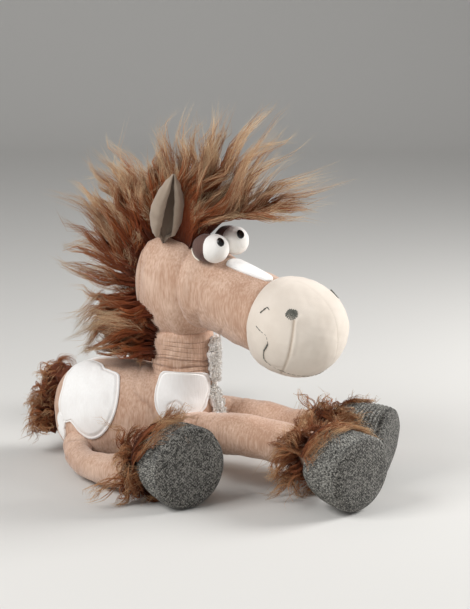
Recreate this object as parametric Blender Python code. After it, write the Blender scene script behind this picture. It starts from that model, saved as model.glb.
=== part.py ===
"""Plush horse lying on its belly with its legs out, built from its stuffed pieces.

Metres, +Z up, the horse faces +X and its left side is +Y. The origin is the middle of the flat under
the belly. Each body that moves hangs on an empty that stands on its joint.
"""

import math

import bmesh
import bpy
import numpy as np
from mathutils import Matrix, Vector

# Fits
CLEARANCE = 0.0003
FLOOR_FLAT = 0.0005
OVERRUN = 0.004
SEAT_DEPTH = 0.0015

# Torso
TORSO_LENGTH = 0.148
TORSO_WIDTH = 0.084
TORSO_HEIGHT = 0.0905
TORSO_POWER = 2.7
TORSO_SECTION_POWER = 2.4
TORSO_TAPER_SHARE = 0.05
TORSO_END_SHARE = 0.999
TORSO_SIDES = 24
TORSO_RINGS = 11

# Neck, a turned shape on the upright axis that the head turns on
NECK_FORWARD = 0.043
NECK_RADIUS = 0.0262
NECK_FOLD_DEPTH = 0.0009
NECK_PIVOT_BELOW_BACK = 0.0145
NECK_VISIBLE_LENGTH = 0.029
NECK_IN_HEAD = 0.010
NECK_FOLDS = 3
NECK_SIDES = 20
NECK_LEAN_RANGE = (-10.0, 3.0)

# Head, turned towards the horse's right, nodding and tilting a little
HEAD_LENGTH = 0.084
HEAD_WIDTH = 0.072
HEAD_HEIGHT = 0.092
HEAD_POWER = 2.2
HEAD_SECTION_POWER = 2.4
HEAD_YAW, HEAD_PITCH, HEAD_ROLL = -20.0, -8.0, 8.0
HEAD_SIDES = 20
HEAD_RINGS = 9

# Snout and muzzle, along the head's own forward axis
SNOUT_RADIUS = 0.0335
SNOUT_WIDTH_SHARE = 0.93
SNOUT_ROOT_FORWARD = 0.012
SNOUT_ROOT_RISE = 0.0095
SNOUT_SIDES = 18
MUZZLE_SEAM_FORWARD = 0.100
MUZZLE_LENGTH = 0.068
MUZZLE_RADIUS = 0.0405
MUZZLE_RISE = -0.0010
MUZZLE_SIDES = 20
MUZZLE_POWER = 2.15
MUZZLE_MIDDLE_SHARE = 0.36
MUZZLE_BACK_SHARES = (0.88, 0.965)
MUZZLE_BACK_STATION_SHARES = (0.0, 0.14)

# Nostrils and mouth
NOSTRIL_RADIUS = 0.0052
NOSTRIL_THICKNESS = 0.0012
NOSTRIL_ASIDE = 54.4
NOSTRIL_ABOVE = 34.8
MOUTH_THICKNESS = 0.0016
MOUTH_ASIDES = (-97.0, -86.0, -81.5, -84.0, -60.0, -30.0, 0.0, 30.0, 60.0, 84.0, 81.5, 86.0, 97.0)
MOUTH_ABOVES = (15.0, 6.3, -1.0, -12.0, -33.0, -43.0, -46.0, -43.0, -33.0, -12.0, -1.0, 6.3, 15.0)
MOUTH_STEPS = 25

# Eyes
EYE_RADIUS = 0.0120
EYE_ASIDE = 0.0126
EYE_FORWARD = 0.0475
EYE_RISE = 0.0505
PUPIL_RADIUS = 0.0031
PUPIL_THICKNESS = 0.0012
PUPIL_LONG_SHARE = 1.25
GAZE = (0.67, -0.22, 0.71)
EYELID_RADIUS = 0.0132
EYELID_BACK = 0.0066
EYELID_DROP = 0.0015
EYELID_OUT = 0.0012
EYE_SEGMENTS = 12

# Ears
EAR_LENGTH = 0.066
EAR_HALF_WIDTH = 0.0135
EAR_THICKNESS = 0.0030
EAR_CUP = 62.0
EAR_BALL_RADIUS = 0.0052
EAR_BACK = 0.002
EAR_ASIDE = 0.0210
EAR_LEAN_FORWARD = 0.26
EAR_LEAN_OUT = 0.14
EAR_SWING = 30.0
EAR_ROWS = 7
EAR_COLUMNS = 5

# Mane: fur masses along the midline, each the space that its dense pile fills, with long locks out of it
HEAD_MANE_WIDTH = 0.035
NECK_MANE_WIDTH = 0.044
MANE_FLARE_SHARE = 0.4
HEAD_MANE_HUB_RISE = 0.030
HEAD_MANE_ANGLES = (29.0, 222.0)
HEAD_MANE_REACH = 0.098
HEAD_MANE_LOCK_REACH = 0.140
HEAD_MANE_REACH_SHARES = (0.86, 0.96, 0.99, 0.95, 0.88, 0.80, 0.77, 0.78, 0.80, 0.80, 0.79, 0.77)
HEAD_MANE_LOCKS = 13
MANE_INNER = 0.014
MANE_PARTING = 0.0012
NECK_MANE_REACH = 0.064
NECK_MANE_LOCK_REACH = 0.088
NECK_MANE_TOP = 0.148
NECK_MANE_BOTTOM = 0.101
NECK_MANE_REACH_SHARES = (1.00, 0.98, 0.90, 0.76, 0.56)
NECK_MANE_LOCKS = 4
MANE_SIDES = 12
MANE_LOCK_SHARES = (0.88, 1.0)
TUFT_RADIUS = 0.0100
TUFT_SIDES = 6
TUFT_RINGS = 4
TUFT_SPREAD_SHARE = 0.30
TUFT_BOW_SHARE = 0.6
TUFT_POINT_POWER = 0.75
TUFT_ASIDE_WAY = (0.31, 0.95, 0.17)
HEAD_SWEEP_MARGIN = 0.0012

# Tail
TAIL_ROOT_RISE = 0.026
TAIL_BALL_RADIUS = 0.0085
TAIL_RADIUS = 0.0190
TAIL_FROM_RUMP = 0.0225
TAIL_ABOVE_ROOT = 0.015
TAIL_TAPER_SHARE = -0.08
TAIL_LIFT = 35.0
TAIL_OFF_FLOOR = 0.004
TAIL_OFF_RUMP = 0.001
TAIL_ROOT_IN_SHARE = 0.3
TAIL_STUB_SHARE = 0.7
TAIL_LOCKS = 5
TAIL_LOCK_RADIUS_SHARE = 0.8
TAIL_LOCK_TOP_SHARE = 0.95
TAIL_LOCK_STEP_SHARE = 0.17
TAIL_LOCK_OUT_SHARES = (1.45, 1.37, 1.29, 1.21, 1.13)
TAIL_LOCK_SPREAD_SHARES = (0.4, 0.6)
TAIL_LOCK_DROP_SHARE = 0.3

# Legs, ankles and hooves
FORE_LEG_RADIUS = 0.0172
HIND_LEG_RADIUS = 0.0142
FORE_LEG_SHARES = (0.97, 1.02, 1.0, 0.96)
HIND_LEG_SHARES = (0.80, 0.86, 0.98, 1.02)
ANKLE_BALL_RADIUS = 0.0140
LEG_SIDES = 12
LEG_RINGS = 9
SHOULDER_BALL_RADIUS = 0.0150
HIP_BALL_RADIUS = 0.0125
SHOULDER_FORWARD, SHOULDER_ASIDE, SHOULDER_RISE = 0.062, 0.031, 0.043
HIP_BACK, HIP_ASIDE, HIP_RISE = 0.042, 0.035, 0.020
FORE_LEG_REACH = 0.127
HIND_LEG_REACH = 0.103
FORE_HOOF_RADIUS = 0.0325
HIND_HOOF_RADIUS = 0.0345
FORE_HOOF_LENGTH = 0.046
HIND_HOOF_LENGTH = 0.042
SOLE_THICKNESS = 0.0055
HOOF_SIDES = 16
HOOF_STATION_SHARES = (0.0, 0.05, 0.2, 0.45, 0.72, 0.93, 1.0)
HOOF_RADIUS_SHARES = (0.60, 0.74, 0.87, 0.95, 1.0, 1.0, 0.965)
HOOF_START_SHARE = 0.3
SOLE_STATION_SHARES = (0.0, 0.35, 0.75)
SOLE_RADIUS_SHARES = (0.955, 0.93, 0.76)
CUFF_STATION_SHARES = (-0.95, -0.62, -0.22, 0.12, 0.36)
CUFF_RADIUS_SHARES = (0.58, 0.82, 0.96, 1.02, 1.06)
CUFF_RIM_SHARE = 0.12
CUFF_LOBE_SHARE = 0.045
CUFF_LOBES = 5
CUFF_SIDES = 20
ANKLE_SWING = 12.0
SHOULDER_LIFT = 14.0
HIP_SWING = 60.0
FAR_HIND_SWING = 63.0
SHOULDER_AXIS_SHARES = (0.55, -0.835)

# White patches and fleece
PATCH_THICKNESS = 0.0018
PATCH_EDGE_SHARE = 0.25
SHOULDER_PATCH_RADIUS = 0.0200
SHOULDER_PATCH_FROM_CHEST = 0.0245
SHOULDER_PATCH_ROUND = 58.0
FLANK_PATCH_HALF_LENGTH = 0.0285
FLANK_PATCH_HALF_ROUND = 60.0
FLANK_PATCH_FORWARD_SHARE = -0.2027
FLANK_PATCH_NARROWING_SHARE = 0.22
FLANK_PATCH_ROUND = 66.0
BLAZE_HALF_ROUND = 20.0
BLAZE_START = 0.057
BLAZE_MARGIN = 0.003
FLEECE_THICKNESS = 0.0034
FLEECE_HALF_WIDTH = 0.0085
PATCH_SEGMENTS = 16
FLANK_PATCH_SEGMENTS = 24

# Hand-set routes of the legs, from the joint they start at, in shares of the leg's reach
FORE_RIGHT_ROUTE_SHARES = (
    (0.2520, -0.0630, 0.0236), (0.4567, -0.1024, 0.0315), (0.6929, -0.1181, 0.0079),
    (0.8819, -0.1417, -0.0157), (1.0000, -0.1969, -0.0394),
)
FORE_LEFT_ROUTE_SHARES = (
    (0.2520, -0.0079, -0.0236), (0.4882, -0.0236, -0.0472), (0.7087, -0.0630, -0.0472),
    (0.8346, -0.0866, -0.0394), (0.9291, -0.1024, -0.0394),
)
HIND_ROUTE_SHARES = (
    (0.0874, -0.1650, -0.0388), (0.3107, -0.3689, -0.0437), (0.6311, -0.5243, -0.0097),
    (0.8447, -0.5437, 0.0631), (1.0000, -0.5049, 0.1408),
)
FORE_RIGHT_HOOF_AXIS = (0.885, -0.450, -0.120)
FORE_LEFT_HOOF_AXIS = (0.985, -0.050, -0.120)
HIND_HOOF_AXIS = (0.820, -0.570, 0.0)

COLOURS = {
    "plush": ("#B98F76", 0.95),
    "white_plush": ("#F2F0EE", 0.95),
    "fleece": ("#EFE6DA", 1.0),
    "suede": ("#D9CBBB", 0.85),
    "ear_suede": ("#A59585", 0.9),
    "lid": ("#5A4038", 0.7),
    "eye": ("#F5F2EC", 0.8),
    "pupil": ("#0A0A0A", 0.2),
    "thread": ("#55555A", 0.9),
    "mane": ("#8A5A42", 0.8),
    "knit": ("#7B7B78", 1.0),
    "melange": ("#6E6E6C", 1.0),
}

SIDES = {"right": -1.0, "left": 1.0}


# General helpers


def clear_scene():
    for item in list(bpy.data.objects):
        bpy.data.objects.remove(item)


def finish_named(name):
    """The Principled material of that finish, made once."""
    found = bpy.data.materials.get(name)
    if found:
        return found
    hex_colour, roughness = COLOURS[name]
    made = bpy.data.materials.new(name)
    made.use_nodes = True
    shader = made.node_tree.nodes["Principled BSDF"]
    channels = [int(hex_colour[i:i + 2], 16) / 255 for i in (1, 3, 5)]
    linear = [c / 12.92 if c <= 0.04045 else ((c + 0.055) / 1.055) ** 2.4 for c in channels]
    shader.inputs["Base Color"].default_value = (*linear, 1.0)
    shader.inputs["Roughness"].default_value = roughness
    shader.inputs["Metallic"].default_value = 0.0
    made.diffuse_color = (*linear, 1.0)
    return made


def new_object(name, vertices, faces, frame=None):
    """A smooth-shaded mesh object whose points are in the frame's own axes."""
    mesh = bpy.data.meshes.new(name)
    mesh.from_pydata([tuple(map(float, v)) for v in vertices], [], [tuple(map(int, f)) for f in faces])
    mesh.validate()
    mesh.shade_smooth()
    made = bpy.data.objects.new(name, mesh)
    made.matrix_world = frame or Matrix.Identity(4)
    bpy.context.scene.collection.objects.link(made)
    return made


def dress(piece, finish, body):
    """Gives the piece its material and hangs it on its body's empty."""
    piece.data.materials.append(finish_named(finish))
    if body:
        place = piece.matrix_world.copy()
        piece.parent = body
        piece.matrix_parent_inverse = body.matrix_world.inverted()
        piece.matrix_world = place
    return piece


def joint_empty(name, frame, parent=None):
    """An empty on a joint's axis, carrying the body that the joint moves."""
    made = bpy.data.objects.new(name, None)
    bpy.context.scene.collection.objects.link(made)
    made.matrix_world = frame
    if parent:
        made.parent = parent
        made.matrix_parent_inverse = parent.matrix_world.inverted()
        made.matrix_world = frame
    bpy.context.view_layer.update()
    return made


def hide(cutter):
    cutter.hide_render = True
    cutter.display_type = "WIRE"
    return cutter


def combine(piece, others, operation):
    """One exact Boolean of the piece with all of the others together."""
    if not others:
        return
    group = bpy.data.collections.new(f"{piece.name}_{operation.lower()}")
    for other in others:
        group.objects.link(hide(other))
    step = piece.modifiers.new(operation.title(), "BOOLEAN")
    step.operation = operation
    step.operand_type = "COLLECTION"
    step.collection = group
    step.solver = "EXACT"


def cut(piece, others):
    combine(piece, others, "DIFFERENCE")


def join(piece, others):
    combine(piece, others, "UNION")


def grown(piece, by=CLEARANCE):
    """A hidden copy of the piece's uncut shape, larger all round, to cut a neighbour with."""
    mesh = piece.data.copy()
    points = np.empty(len(mesh.vertices) * 3)
    mesh.vertices.foreach_get("co", points)
    normals = np.empty(len(mesh.vertices) * 3)
    mesh.vertex_normals.foreach_get("vector", normals)
    mesh.vertices.foreach_set("co", points + normals * by)
    made = bpy.data.objects.new(f"{piece.name}_grown", mesh)
    made.matrix_world = piece.matrix_world
    bpy.context.scene.collection.objects.link(made)
    return hide(made)


def level_box(name, piece_reach, height=0.0, below=True):
    """A block below or above a height that cuts a piece flat there."""
    corners = [(x * piece_reach, y * piece_reach, z) for z in (-piece_reach, 0.0) for x, y in
               ((-1, -1), (1, -1), (1, 1), (-1, 1))]
    faces = [(3, 2, 1, 0), (4, 5, 6, 7), (0, 1, 5, 4), (1, 2, 6, 5), (2, 3, 7, 6), (3, 0, 4, 7)]
    turn = Matrix.Identity(4) if below else Matrix.Rotation(math.pi, 4, "X")
    return hide(new_object(name, corners, faces, Matrix.Translation((0, 0, height)) @ turn))


def unit(vector):
    vector = np.asarray(vector, float)
    return vector / np.linalg.norm(vector)


def turned(vector, axis, degrees):
    return np.array(Matrix.Rotation(math.radians(degrees), 3, Vector(axis)) @ Vector(vector))


def skin(rings, first_tip=None, last_tip=None):
    """Vertices and outward faces of a closed shape from rings of equal count, each end fanned to a tip."""
    count, sides = rings.shape[:2]
    first = rings[0].mean(axis=0) if first_tip is None else first_tip
    last = rings[-1].mean(axis=0) if last_tip is None else last_tip
    vertices = np.vstack([rings.reshape(-1, 3), first, last])
    faces = []
    for i in range(count - 1):
        for j in range(sides):
            k = (j + 1) % sides
            faces.append((i * sides + j, i * sides + k, (i + 1) * sides + k, (i + 1) * sides + j))
    for j in range(sides):
        k = (j + 1) % sides
        faces.append((count * sides, k, j))
        faces.append((count * sides + 1, (count - 1) * sides + j, (count - 1) * sides + k))
    centre = rings.mean(axis=1)
    turn = np.cross(rings[0][1] - rings[0][0], rings[0][2] - rings[0][1])
    if turn @ (centre[1] - centre[0]) < 0:
        faces = [face[::-1] for face in faces]
    return vertices, faces


def ellipse_rings(centres, rights, ups, half_widths, half_heights, sides, power=2.0, flare=0.0):
    """Rings of a squared ellipse carried along the centres, wider towards its up side by the flare."""
    around = np.arange(sides) * 2 * math.pi / sides
    c, s = np.cos(around), np.sin(around)
    size = (np.abs(c) ** power + np.abs(s) ** power) ** (-1 / power)
    c, s = c * size, s * size
    across = (c * (1 + flare * s))[None, :, None] * rights[:, None, :] * half_widths[:, None, None]
    along = s[None, :, None] * ups[:, None, :] * half_heights[:, None, None]
    return centres[:, None, :] + across + along


def smooth_through(points, count):
    """Catmull-Rom curve through the points, read at evenly spaced parameters."""
    points = np.asarray(points, float)
    padded = np.vstack([2 * points[0] - points[1], points, 2 * points[-1] - points[-2]])
    along = np.linspace(0, len(points) - 1, count)
    start = np.minimum(along.astype(int), len(points[2:]))
    t = (along - start)[:, None]
    p0, p1, p2, p3 = (padded[start + i] for i in range(4))
    return 0.5 * (2 * p1 + (p2 - p0) * t + (2 * p0 - 5 * p1 + 4 * p2 - p3) * t ** 2
                  + (3 * p1 - p0 - 3 * p2 + p3) * t ** 3)


def smooth_shares(shares, count):
    return smooth_through(np.asarray(shares, float)[:, None], count)[:, 0]


def even_route(points, count):
    """The smooth curve through the points, read at equal steps of its length, with its directions."""
    fine = smooth_through(points, count * 12)
    steps = np.concatenate([[0.0], np.cumsum(np.linalg.norm(np.diff(fine, axis=0), axis=1))])
    wanted = np.linspace(0, steps[-1], count)
    places = np.stack([np.interp(wanted, steps, fine[:, i]) for i in range(3)], axis=1)
    ahead = np.gradient(places, axis=0)
    return places, ahead / np.linalg.norm(ahead, axis=1)[:, None]


def side_vectors(ahead, reference):
    """Level and upright vectors square to each direction."""
    rights = np.cross(ahead, np.asarray(reference, float))
    rights /= np.linalg.norm(rights, axis=1)[:, None]
    return rights, np.cross(rights, ahead)


def egg(half_length, half_width, half_height, power, taper_share, sides, rings, section_power=2.0):
    """A stuffed egg along X: a superellipse profile that narrows towards +X by the taper share."""
    turn = np.linspace(0, math.pi, rings + 2)[1:-1]
    x = -np.sign(np.cos(turn)) * np.abs(np.cos(turn)) ** (2 / power)
    radius = np.sin(turn) ** (2 / power) * (1 - taper_share * x)
    centres = np.stack([x * half_length, 0 * x, 0 * x], axis=1)
    across = np.tile([0.0, 1.0, 0.0], (rings, 1))
    up = np.tile([0.0, 0.0, 1.0], (rings, 1))
    half_sizes = radius * half_width, radius * half_height
    loops = ellipse_rings(centres, across, up, *half_sizes, sides, section_power)
    return skin(loops, (-half_length, 0, 0), (half_length, 0, 0))


def limb(route, radii, first_ball, last_ball, sides, reference=(0, 0, 1), cap_rings=3):
    """A stuffed tube along the route with a ball at each end."""
    places, ahead = even_route(route, len(radii))
    rights, ups = side_vectors(ahead, reference)
    angles = np.linspace(0, math.pi / 2, cap_rings + 1)[1:-1]
    first = places[0] - np.outer(np.cos(angles) * first_ball, ahead[0])
    last = places[-1] + np.outer(np.cos(angles[::-1]) * last_ball, ahead[-1])
    centres = np.vstack([first, places, last])
    radius = np.concatenate([np.sin(angles) * first_ball, radii, np.sin(angles[::-1]) * last_ball])
    spans = [len(first), len(last)]
    across = np.vstack([np.tile(rights[0], (spans[0], 1)), rights, np.tile(rights[-1], (spans[1], 1))])
    up = np.vstack([np.tile(ups[0], (spans[0], 1)), ups, np.tile(ups[-1], (spans[1], 1))])
    loops = ellipse_rings(centres, across, up, radius, radius, sides)
    return skin(loops, places[0] - ahead[0] * first_ball, places[-1] + ahead[-1] * last_ball)


def ball_points(centre, radius, segments=12, rows=7):
    """Points round a sphere, pushed out so that its flats stay outside the radius."""
    outside = radius / math.cos(math.pi / segments) ** 2
    polar = np.linspace(0, math.pi, rows)
    around = np.arange(segments) * 2 * math.pi / segments
    p, a = np.meshgrid(polar, around, indexing="ij")
    points = np.stack([np.sin(p) * np.cos(a), np.sin(p) * np.sin(a), np.cos(p)], axis=-1).reshape(-1, 3)
    return np.asarray(centre, float) + outside * points


def swing_cutter(name, pivot, axis, angles, balls, frame=None):
    """The hull of what a row of balls sweeps as it turns about the joint, with the clearance round it."""
    pivot = np.asarray(pivot, float)
    points = []
    for centre, radius in balls:
        for angle in angles:
            place = pivot + turned(np.asarray(centre) - pivot, axis, angle)
            points.append(ball_points(place, radius + CLEARANCE))
    shape = bmesh.new()
    for point in np.vstack(points):
        shape.verts.new(point)
    bmesh.ops.remove_doubles(shape, verts=shape.verts, dist=CLEARANCE / 10)
    found = bmesh.ops.convex_hull(shape, input=shape.verts)
    loose = {v for v in found["geom_interior"] + found["geom_unused"] if isinstance(v, bmesh.types.BMVert)}
    bmesh.ops.delete(shape, geom=[v for v in loose if v.is_valid], context="VERTS")
    bmesh.ops.recalc_face_normals(shape, faces=shape.faces)
    mesh = bpy.data.meshes.new(name)
    shape.to_mesh(mesh)
    shape.free()
    made = bpy.data.objects.new(name, mesh)
    made.matrix_world = frame or Matrix.Identity(4)
    bpy.context.scene.collection.objects.link(made)
    return hide(made)


def tuft(name, root, tip, radius, frame=None):
    """One tapering lock of fur, bent a little, its root sunk in the mass that it grows from."""
    root, tip = np.asarray(root, float), np.asarray(tip, float)
    t = np.linspace(0, 1, TUFT_RINGS + 1)[:-1]
    ahead = unit(tip - root)
    aside = unit(np.cross(ahead, TUFT_ASIDE_WAY))
    bow = np.outer(np.sin(t * math.pi) * radius * TUFT_BOW_SHARE, aside)
    centres = root + np.outer(t, tip - root) + bow
    size = radius * (1 - t) ** TUFT_POINT_POWER
    ups = np.tile(np.cross(aside, ahead), (len(t), 1))
    loops = ellipse_rings(centres, np.tile(aside, (len(t), 1)), ups, size, size, TUFT_SIDES)
    return hide(new_object(name, *skin(loops, None, tip), frame))


def skin_patch(name, surface, outline, thickness, frame=None, segments=PATCH_SEGMENTS, rows=3):
    """A shell that fills an outline on a surface, sunk into it until the piece below is cut out of it."""
    around = np.arange(segments) * 2 * math.pi / segments
    rho = np.linspace(0, 1, rows + 1)[1:]
    inner = [surface(*outline(r, around), -SEAT_DEPTH) for r in rho]
    lifts = CLEARANCE + thickness * (1 - rho ** 6 * PATCH_EDGE_SHARE)
    outer = [surface(*outline(r, around), lift) for r, lift in zip(rho, lifts)]
    middle_low = surface(*outline(0.0, around[:1]), -SEAT_DEPTH)[0]
    middle_high = surface(*outline(0.0, around[:1]), CLEARANCE + thickness)[0]
    loops = np.array(inner + outer[::-1])
    return new_object(name, *skin(loops, middle_low, middle_high), frame)


# The torso and what lies on it


def torso_surface(forward, degrees, lift):
    """Point on the torso at a place along it and an angle from the top towards the left, raised by lift."""
    half = TORSO_LENGTH / 2
    x = np.clip(forward / half, -TORSO_END_SHARE, TORSO_END_SHARE)

    def point(x_share, angle):
        radius = (1 - np.abs(x_share) ** TORSO_POWER) ** (1 / TORSO_POWER)
        radius = radius * (1 - TORSO_TAPER_SHARE * x_share)
        c, s = np.cos(angle), np.sin(angle)
        power = TORSO_SECTION_POWER
        radius = radius * (np.abs(s) ** power + np.abs(c) ** power) ** (-1 / power)
        middle = TORSO_HEIGHT / 2 - FLOOR_FLAT
        aside, rise = radius * s * TORSO_WIDTH / 2, radius * c * TORSO_HEIGHT / 2
        return np.stack([x_share * half, aside, middle + rise], axis=-1)

    angle = np.radians(degrees)
    tiny = 1e-4
    along = point(x + tiny, angle) - point(x - tiny, angle)
    round_it = point(x, angle + tiny) - point(x, angle - tiny)
    normal = np.cross(round_it, along)
    normal /= np.linalg.norm(normal, axis=-1)[..., None]
    outwards = np.sign(normal[..., 2] * np.cos(angle) + normal[..., 1] * np.sin(angle))
    return point(x, angle) + normal * outwards[..., None] * lift


def make_torso():
    half = TORSO_HEIGHT / 2
    frame = Matrix.Translation((0, 0, half - FLOOR_FLAT))
    shape = egg(TORSO_LENGTH / 2, TORSO_WIDTH / 2, half, TORSO_POWER, TORSO_TAPER_SHARE, TORSO_SIDES,
                TORSO_RINGS, TORSO_SECTION_POWER)
    return new_object("torso", *shape, frame)


def shoulder_patch(side):
    """The round white patch between the shoulder and the neck."""
    sign = SIDES[side]

    def outline(rho, around):
        middle = TORSO_LENGTH / 2 - SHOULDER_PATCH_FROM_CHEST
        forward = middle + SHOULDER_PATCH_RADIUS * rho * np.cos(around)
        half_round = math.degrees(SHOULDER_PATCH_RADIUS / (TORSO_WIDTH / 2))
        return forward, sign * (SHOULDER_PATCH_ROUND + half_round * rho * np.sin(around))

    return skin_patch(f"shoulder_patch_{side}", torso_surface, outline, PATCH_THICKNESS)


def flank_patch(side):
    """The large white patch on the rump's side, round above and narrowed below."""
    sign = SIDES[side]

    def outline(rho, around):
        narrowing = 1 - FLANK_PATCH_NARROWING_SHARE * np.maximum(np.sin(around), 0)
        middle = TORSO_LENGTH * FLANK_PATCH_FORWARD_SHARE
        forward = middle + FLANK_PATCH_HALF_LENGTH * rho * np.cos(around) * narrowing
        return forward, sign * (FLANK_PATCH_ROUND + FLANK_PATCH_HALF_ROUND * rho * np.sin(around))

    return skin_patch(f"flank_patch_{side}", torso_surface, outline, PATCH_THICKNESS,
                      segments=FLANK_PATCH_SEGMENTS, rows=4)


def chest_fleece():
    """The curly white strip down the middle of the chest, from under the neck."""
    half = TORSO_LENGTH / 2
    turn = np.linspace(math.radians(38), math.radians(-22), 9)
    x = np.cos(turn) ** (2 / TORSO_POWER)
    z = np.sign(np.sin(turn)) * np.abs(np.sin(turn)) ** (2 / TORSO_POWER)
    places = np.stack([x * half, 0 * x, TORSO_HEIGHT / 2 - FLOOR_FLAT + z * TORSO_HEIGHT / 2], axis=1)
    ahead = np.gradient(places, axis=0)
    ahead /= np.linalg.norm(ahead, axis=1)[:, None]
    across = np.tile([0.0, 1.0, 0.0], (len(places), 1))
    outward = np.cross(ahead, across)
    outward *= np.sign(outward[:, :1])
    swell = np.sin(np.linspace(0.35, math.pi - 0.35, len(places))) ** 0.5
    loops = ellipse_rings(places + outward * FLEECE_THICKNESS / 2, across, outward,
                          FLEECE_HALF_WIDTH * swell, FLEECE_THICKNESS * swell, 12)
    return new_object("chest_fleece", *skin(loops))


# The neck


def neck_pivot():
    return np.array([NECK_FORWARD, 0.0, TORSO_HEIGHT - FLOOR_FLAT - NECK_PIVOT_BELOW_BACK])


def neck_profile():
    """Heights above the pivot and radii: a ball below, gathered folds, and a dome in the head."""
    ball = np.linspace(-math.pi / 2, 0, 6)[1:]
    low = np.stack([np.sin(ball), np.cos(ball)], axis=1) * NECK_RADIUS
    start, end = NECK_PIVOT_BELOW_BACK * 0.6, NECK_PIVOT_BELOW_BACK + NECK_VISIBLE_LENGTH
    heights = np.linspace(start, end, 2 * NECK_FOLDS + 1)
    wave = NECK_RADIUS + NECK_FOLD_DEPTH * np.cos(np.arange(len(heights)) * math.pi)
    folds = np.stack([heights, wave], axis=1)
    dome = np.linspace(0, math.pi / 2, 5)[1:-1]
    top = np.stack([end + np.sin(dome) * NECK_IN_HEAD, np.cos(dome) * NECK_RADIUS], axis=1)
    return np.vstack([low, folds, top]), end + NECK_IN_HEAD


def make_neck():
    profile, top = neck_profile()
    count = len(profile)
    centres = np.stack([np.zeros(count), np.zeros(count), profile[:, 0]], axis=1)
    rights = np.tile([1.0, 0.0, 0.0], (count, 1))
    ups = np.tile([0.0, 1.0, 0.0], (count, 1))
    loops = ellipse_rings(centres, rights, ups, profile[:, 1], profile[:, 1], NECK_SIDES)
    shape = skin(loops, (0, 0, -NECK_RADIUS), (0, 0, top))
    return new_object("neck", *shape, Matrix.Translation(neck_pivot()))


def throat_fleece():
    """The curly white strip down the front of the neck."""
    steps = 7
    low, high = NECK_PIVOT_BELOW_BACK, NECK_PIVOT_BELOW_BACK + NECK_VISIBLE_LENGTH - FLEECE_THICKNESS
    heights = np.linspace(low, high, steps)
    places = np.stack([np.full(steps, NECK_RADIUS + FLEECE_THICKNESS / 2), 0 * heights, heights], axis=1)
    across = np.tile([0.0, 1.0, 0.0], (steps, 1))
    outward = np.tile([1.0, 0.0, 0.0], (steps, 1))
    swell = np.sin(np.linspace(0.5, math.pi - 0.5, steps)) ** 0.5
    loops = ellipse_rings(places, across, outward, FLEECE_HALF_WIDTH * swell, FLEECE_THICKNESS * swell, 12)
    return new_object("throat_fleece", *skin(loops), Matrix.Translation(neck_pivot()))


# The head


def head_centre():
    rise = NECK_PIVOT_BELOW_BACK + NECK_VISIBLE_LENGTH + HEAD_HEIGHT / 2 - OVERRUN
    return neck_pivot() + np.array([0, 0, rise])


def head_frame():
    yaw = Matrix.Rotation(math.radians(HEAD_YAW), 4, "Z")
    pitch = Matrix.Rotation(math.radians(-HEAD_PITCH), 4, "Y")
    roll = Matrix.Rotation(math.radians(HEAD_ROLL), 4, "X")
    return Matrix.Translation(head_centre()) @ yaw @ pitch @ roll


def make_head():
    shape = egg(HEAD_LENGTH / 2, HEAD_WIDTH / 2, HEAD_HEIGHT / 2, HEAD_POWER, 0.0, HEAD_SIDES, HEAD_RINGS,
                HEAD_SECTION_POWER)
    return new_object("head", *shape, head_frame())


def snout_centre(forward):
    """Middle of the snout at a place along the head's forward axis."""
    share = (forward - SNOUT_ROOT_FORWARD) / (MUZZLE_SEAM_FORWARD - SNOUT_ROOT_FORWARD)
    rise = SNOUT_ROOT_RISE + (MUZZLE_RISE - SNOUT_ROOT_RISE) * share
    return np.stack([forward, 0 * forward, rise], axis=-1)


def make_snout():
    forward = np.linspace(SNOUT_ROOT_FORWARD, MUZZLE_SEAM_FORWARD + OVERRUN, 8)
    centres = snout_centre(forward)
    rights = np.tile([0.0, 1.0, 0.0], (8, 1))
    ups = np.tile([0.0, 0.0, 1.0], (8, 1))
    loops = ellipse_rings(centres, rights, ups, np.full(8, SNOUT_RADIUS * SNOUT_WIDTH_SHARE),
                          np.full(8, SNOUT_RADIUS), SNOUT_SIDES)
    return new_object("snout", *skin(loops), head_frame())


def muzzle_middle():
    return np.array([MUZZLE_SEAM_FORWARD + MUZZLE_LENGTH * MUZZLE_MIDDLE_SHARE, 0.0, MUZZLE_RISE])


def make_muzzle():
    """A bulb: rolled in behind at the seam, and a stuffed round end in front."""
    turn = np.linspace(math.pi / 2, 0, 7)[:-1]
    front = MUZZLE_LENGTH * (1 - MUZZLE_MIDDLE_SHARE) * np.cos(turn) ** (2 / MUZZLE_POWER)
    back = (np.array(MUZZLE_BACK_STATION_SHARES) - MUZZLE_MIDDLE_SHARE) * MUZZLE_LENGTH
    radii = np.concatenate([MUZZLE_BACK_SHARES, np.sin(turn) ** (2 / MUZZLE_POWER)]) * MUZZLE_RADIUS
    along = np.concatenate([back, front])
    centres = muzzle_middle() + np.stack([along, 0 * along, 0 * along], axis=1)
    rights = np.tile([0.0, 1.0, 0.0], (len(along), 1))
    ups = np.tile([0.0, 0.0, 1.0], (len(along), 1))
    loops = ellipse_rings(centres, rights, ups, radii, radii, MUZZLE_SIDES)
    tip = (MUZZLE_SEAM_FORWARD + MUZZLE_LENGTH, 0, MUZZLE_RISE)
    return new_object("muzzle", *skin(loops, None, tip), head_frame())


def on_muzzle(aside, above, lift):
    """Point on the muzzle's front by angles aside and above its middle, raised by lift, and the way out."""
    a, b = np.radians(aside), np.radians(above)
    out = np.stack([np.cos(b) * np.cos(a), np.cos(b) * np.sin(a), np.sin(b)], axis=-1)
    half_length = MUZZLE_LENGTH * (1 - MUZZLE_MIDDLE_SHARE)
    across = np.hypot(out[..., 1], out[..., 2])
    reach = ((np.abs(out[..., 0]) / half_length) ** MUZZLE_POWER
             + (across / MUZZLE_RADIUS) ** MUZZLE_POWER) ** (-1 / MUZZLE_POWER)
    return muzzle_middle() + out * (reach + lift)[..., None], out


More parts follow.
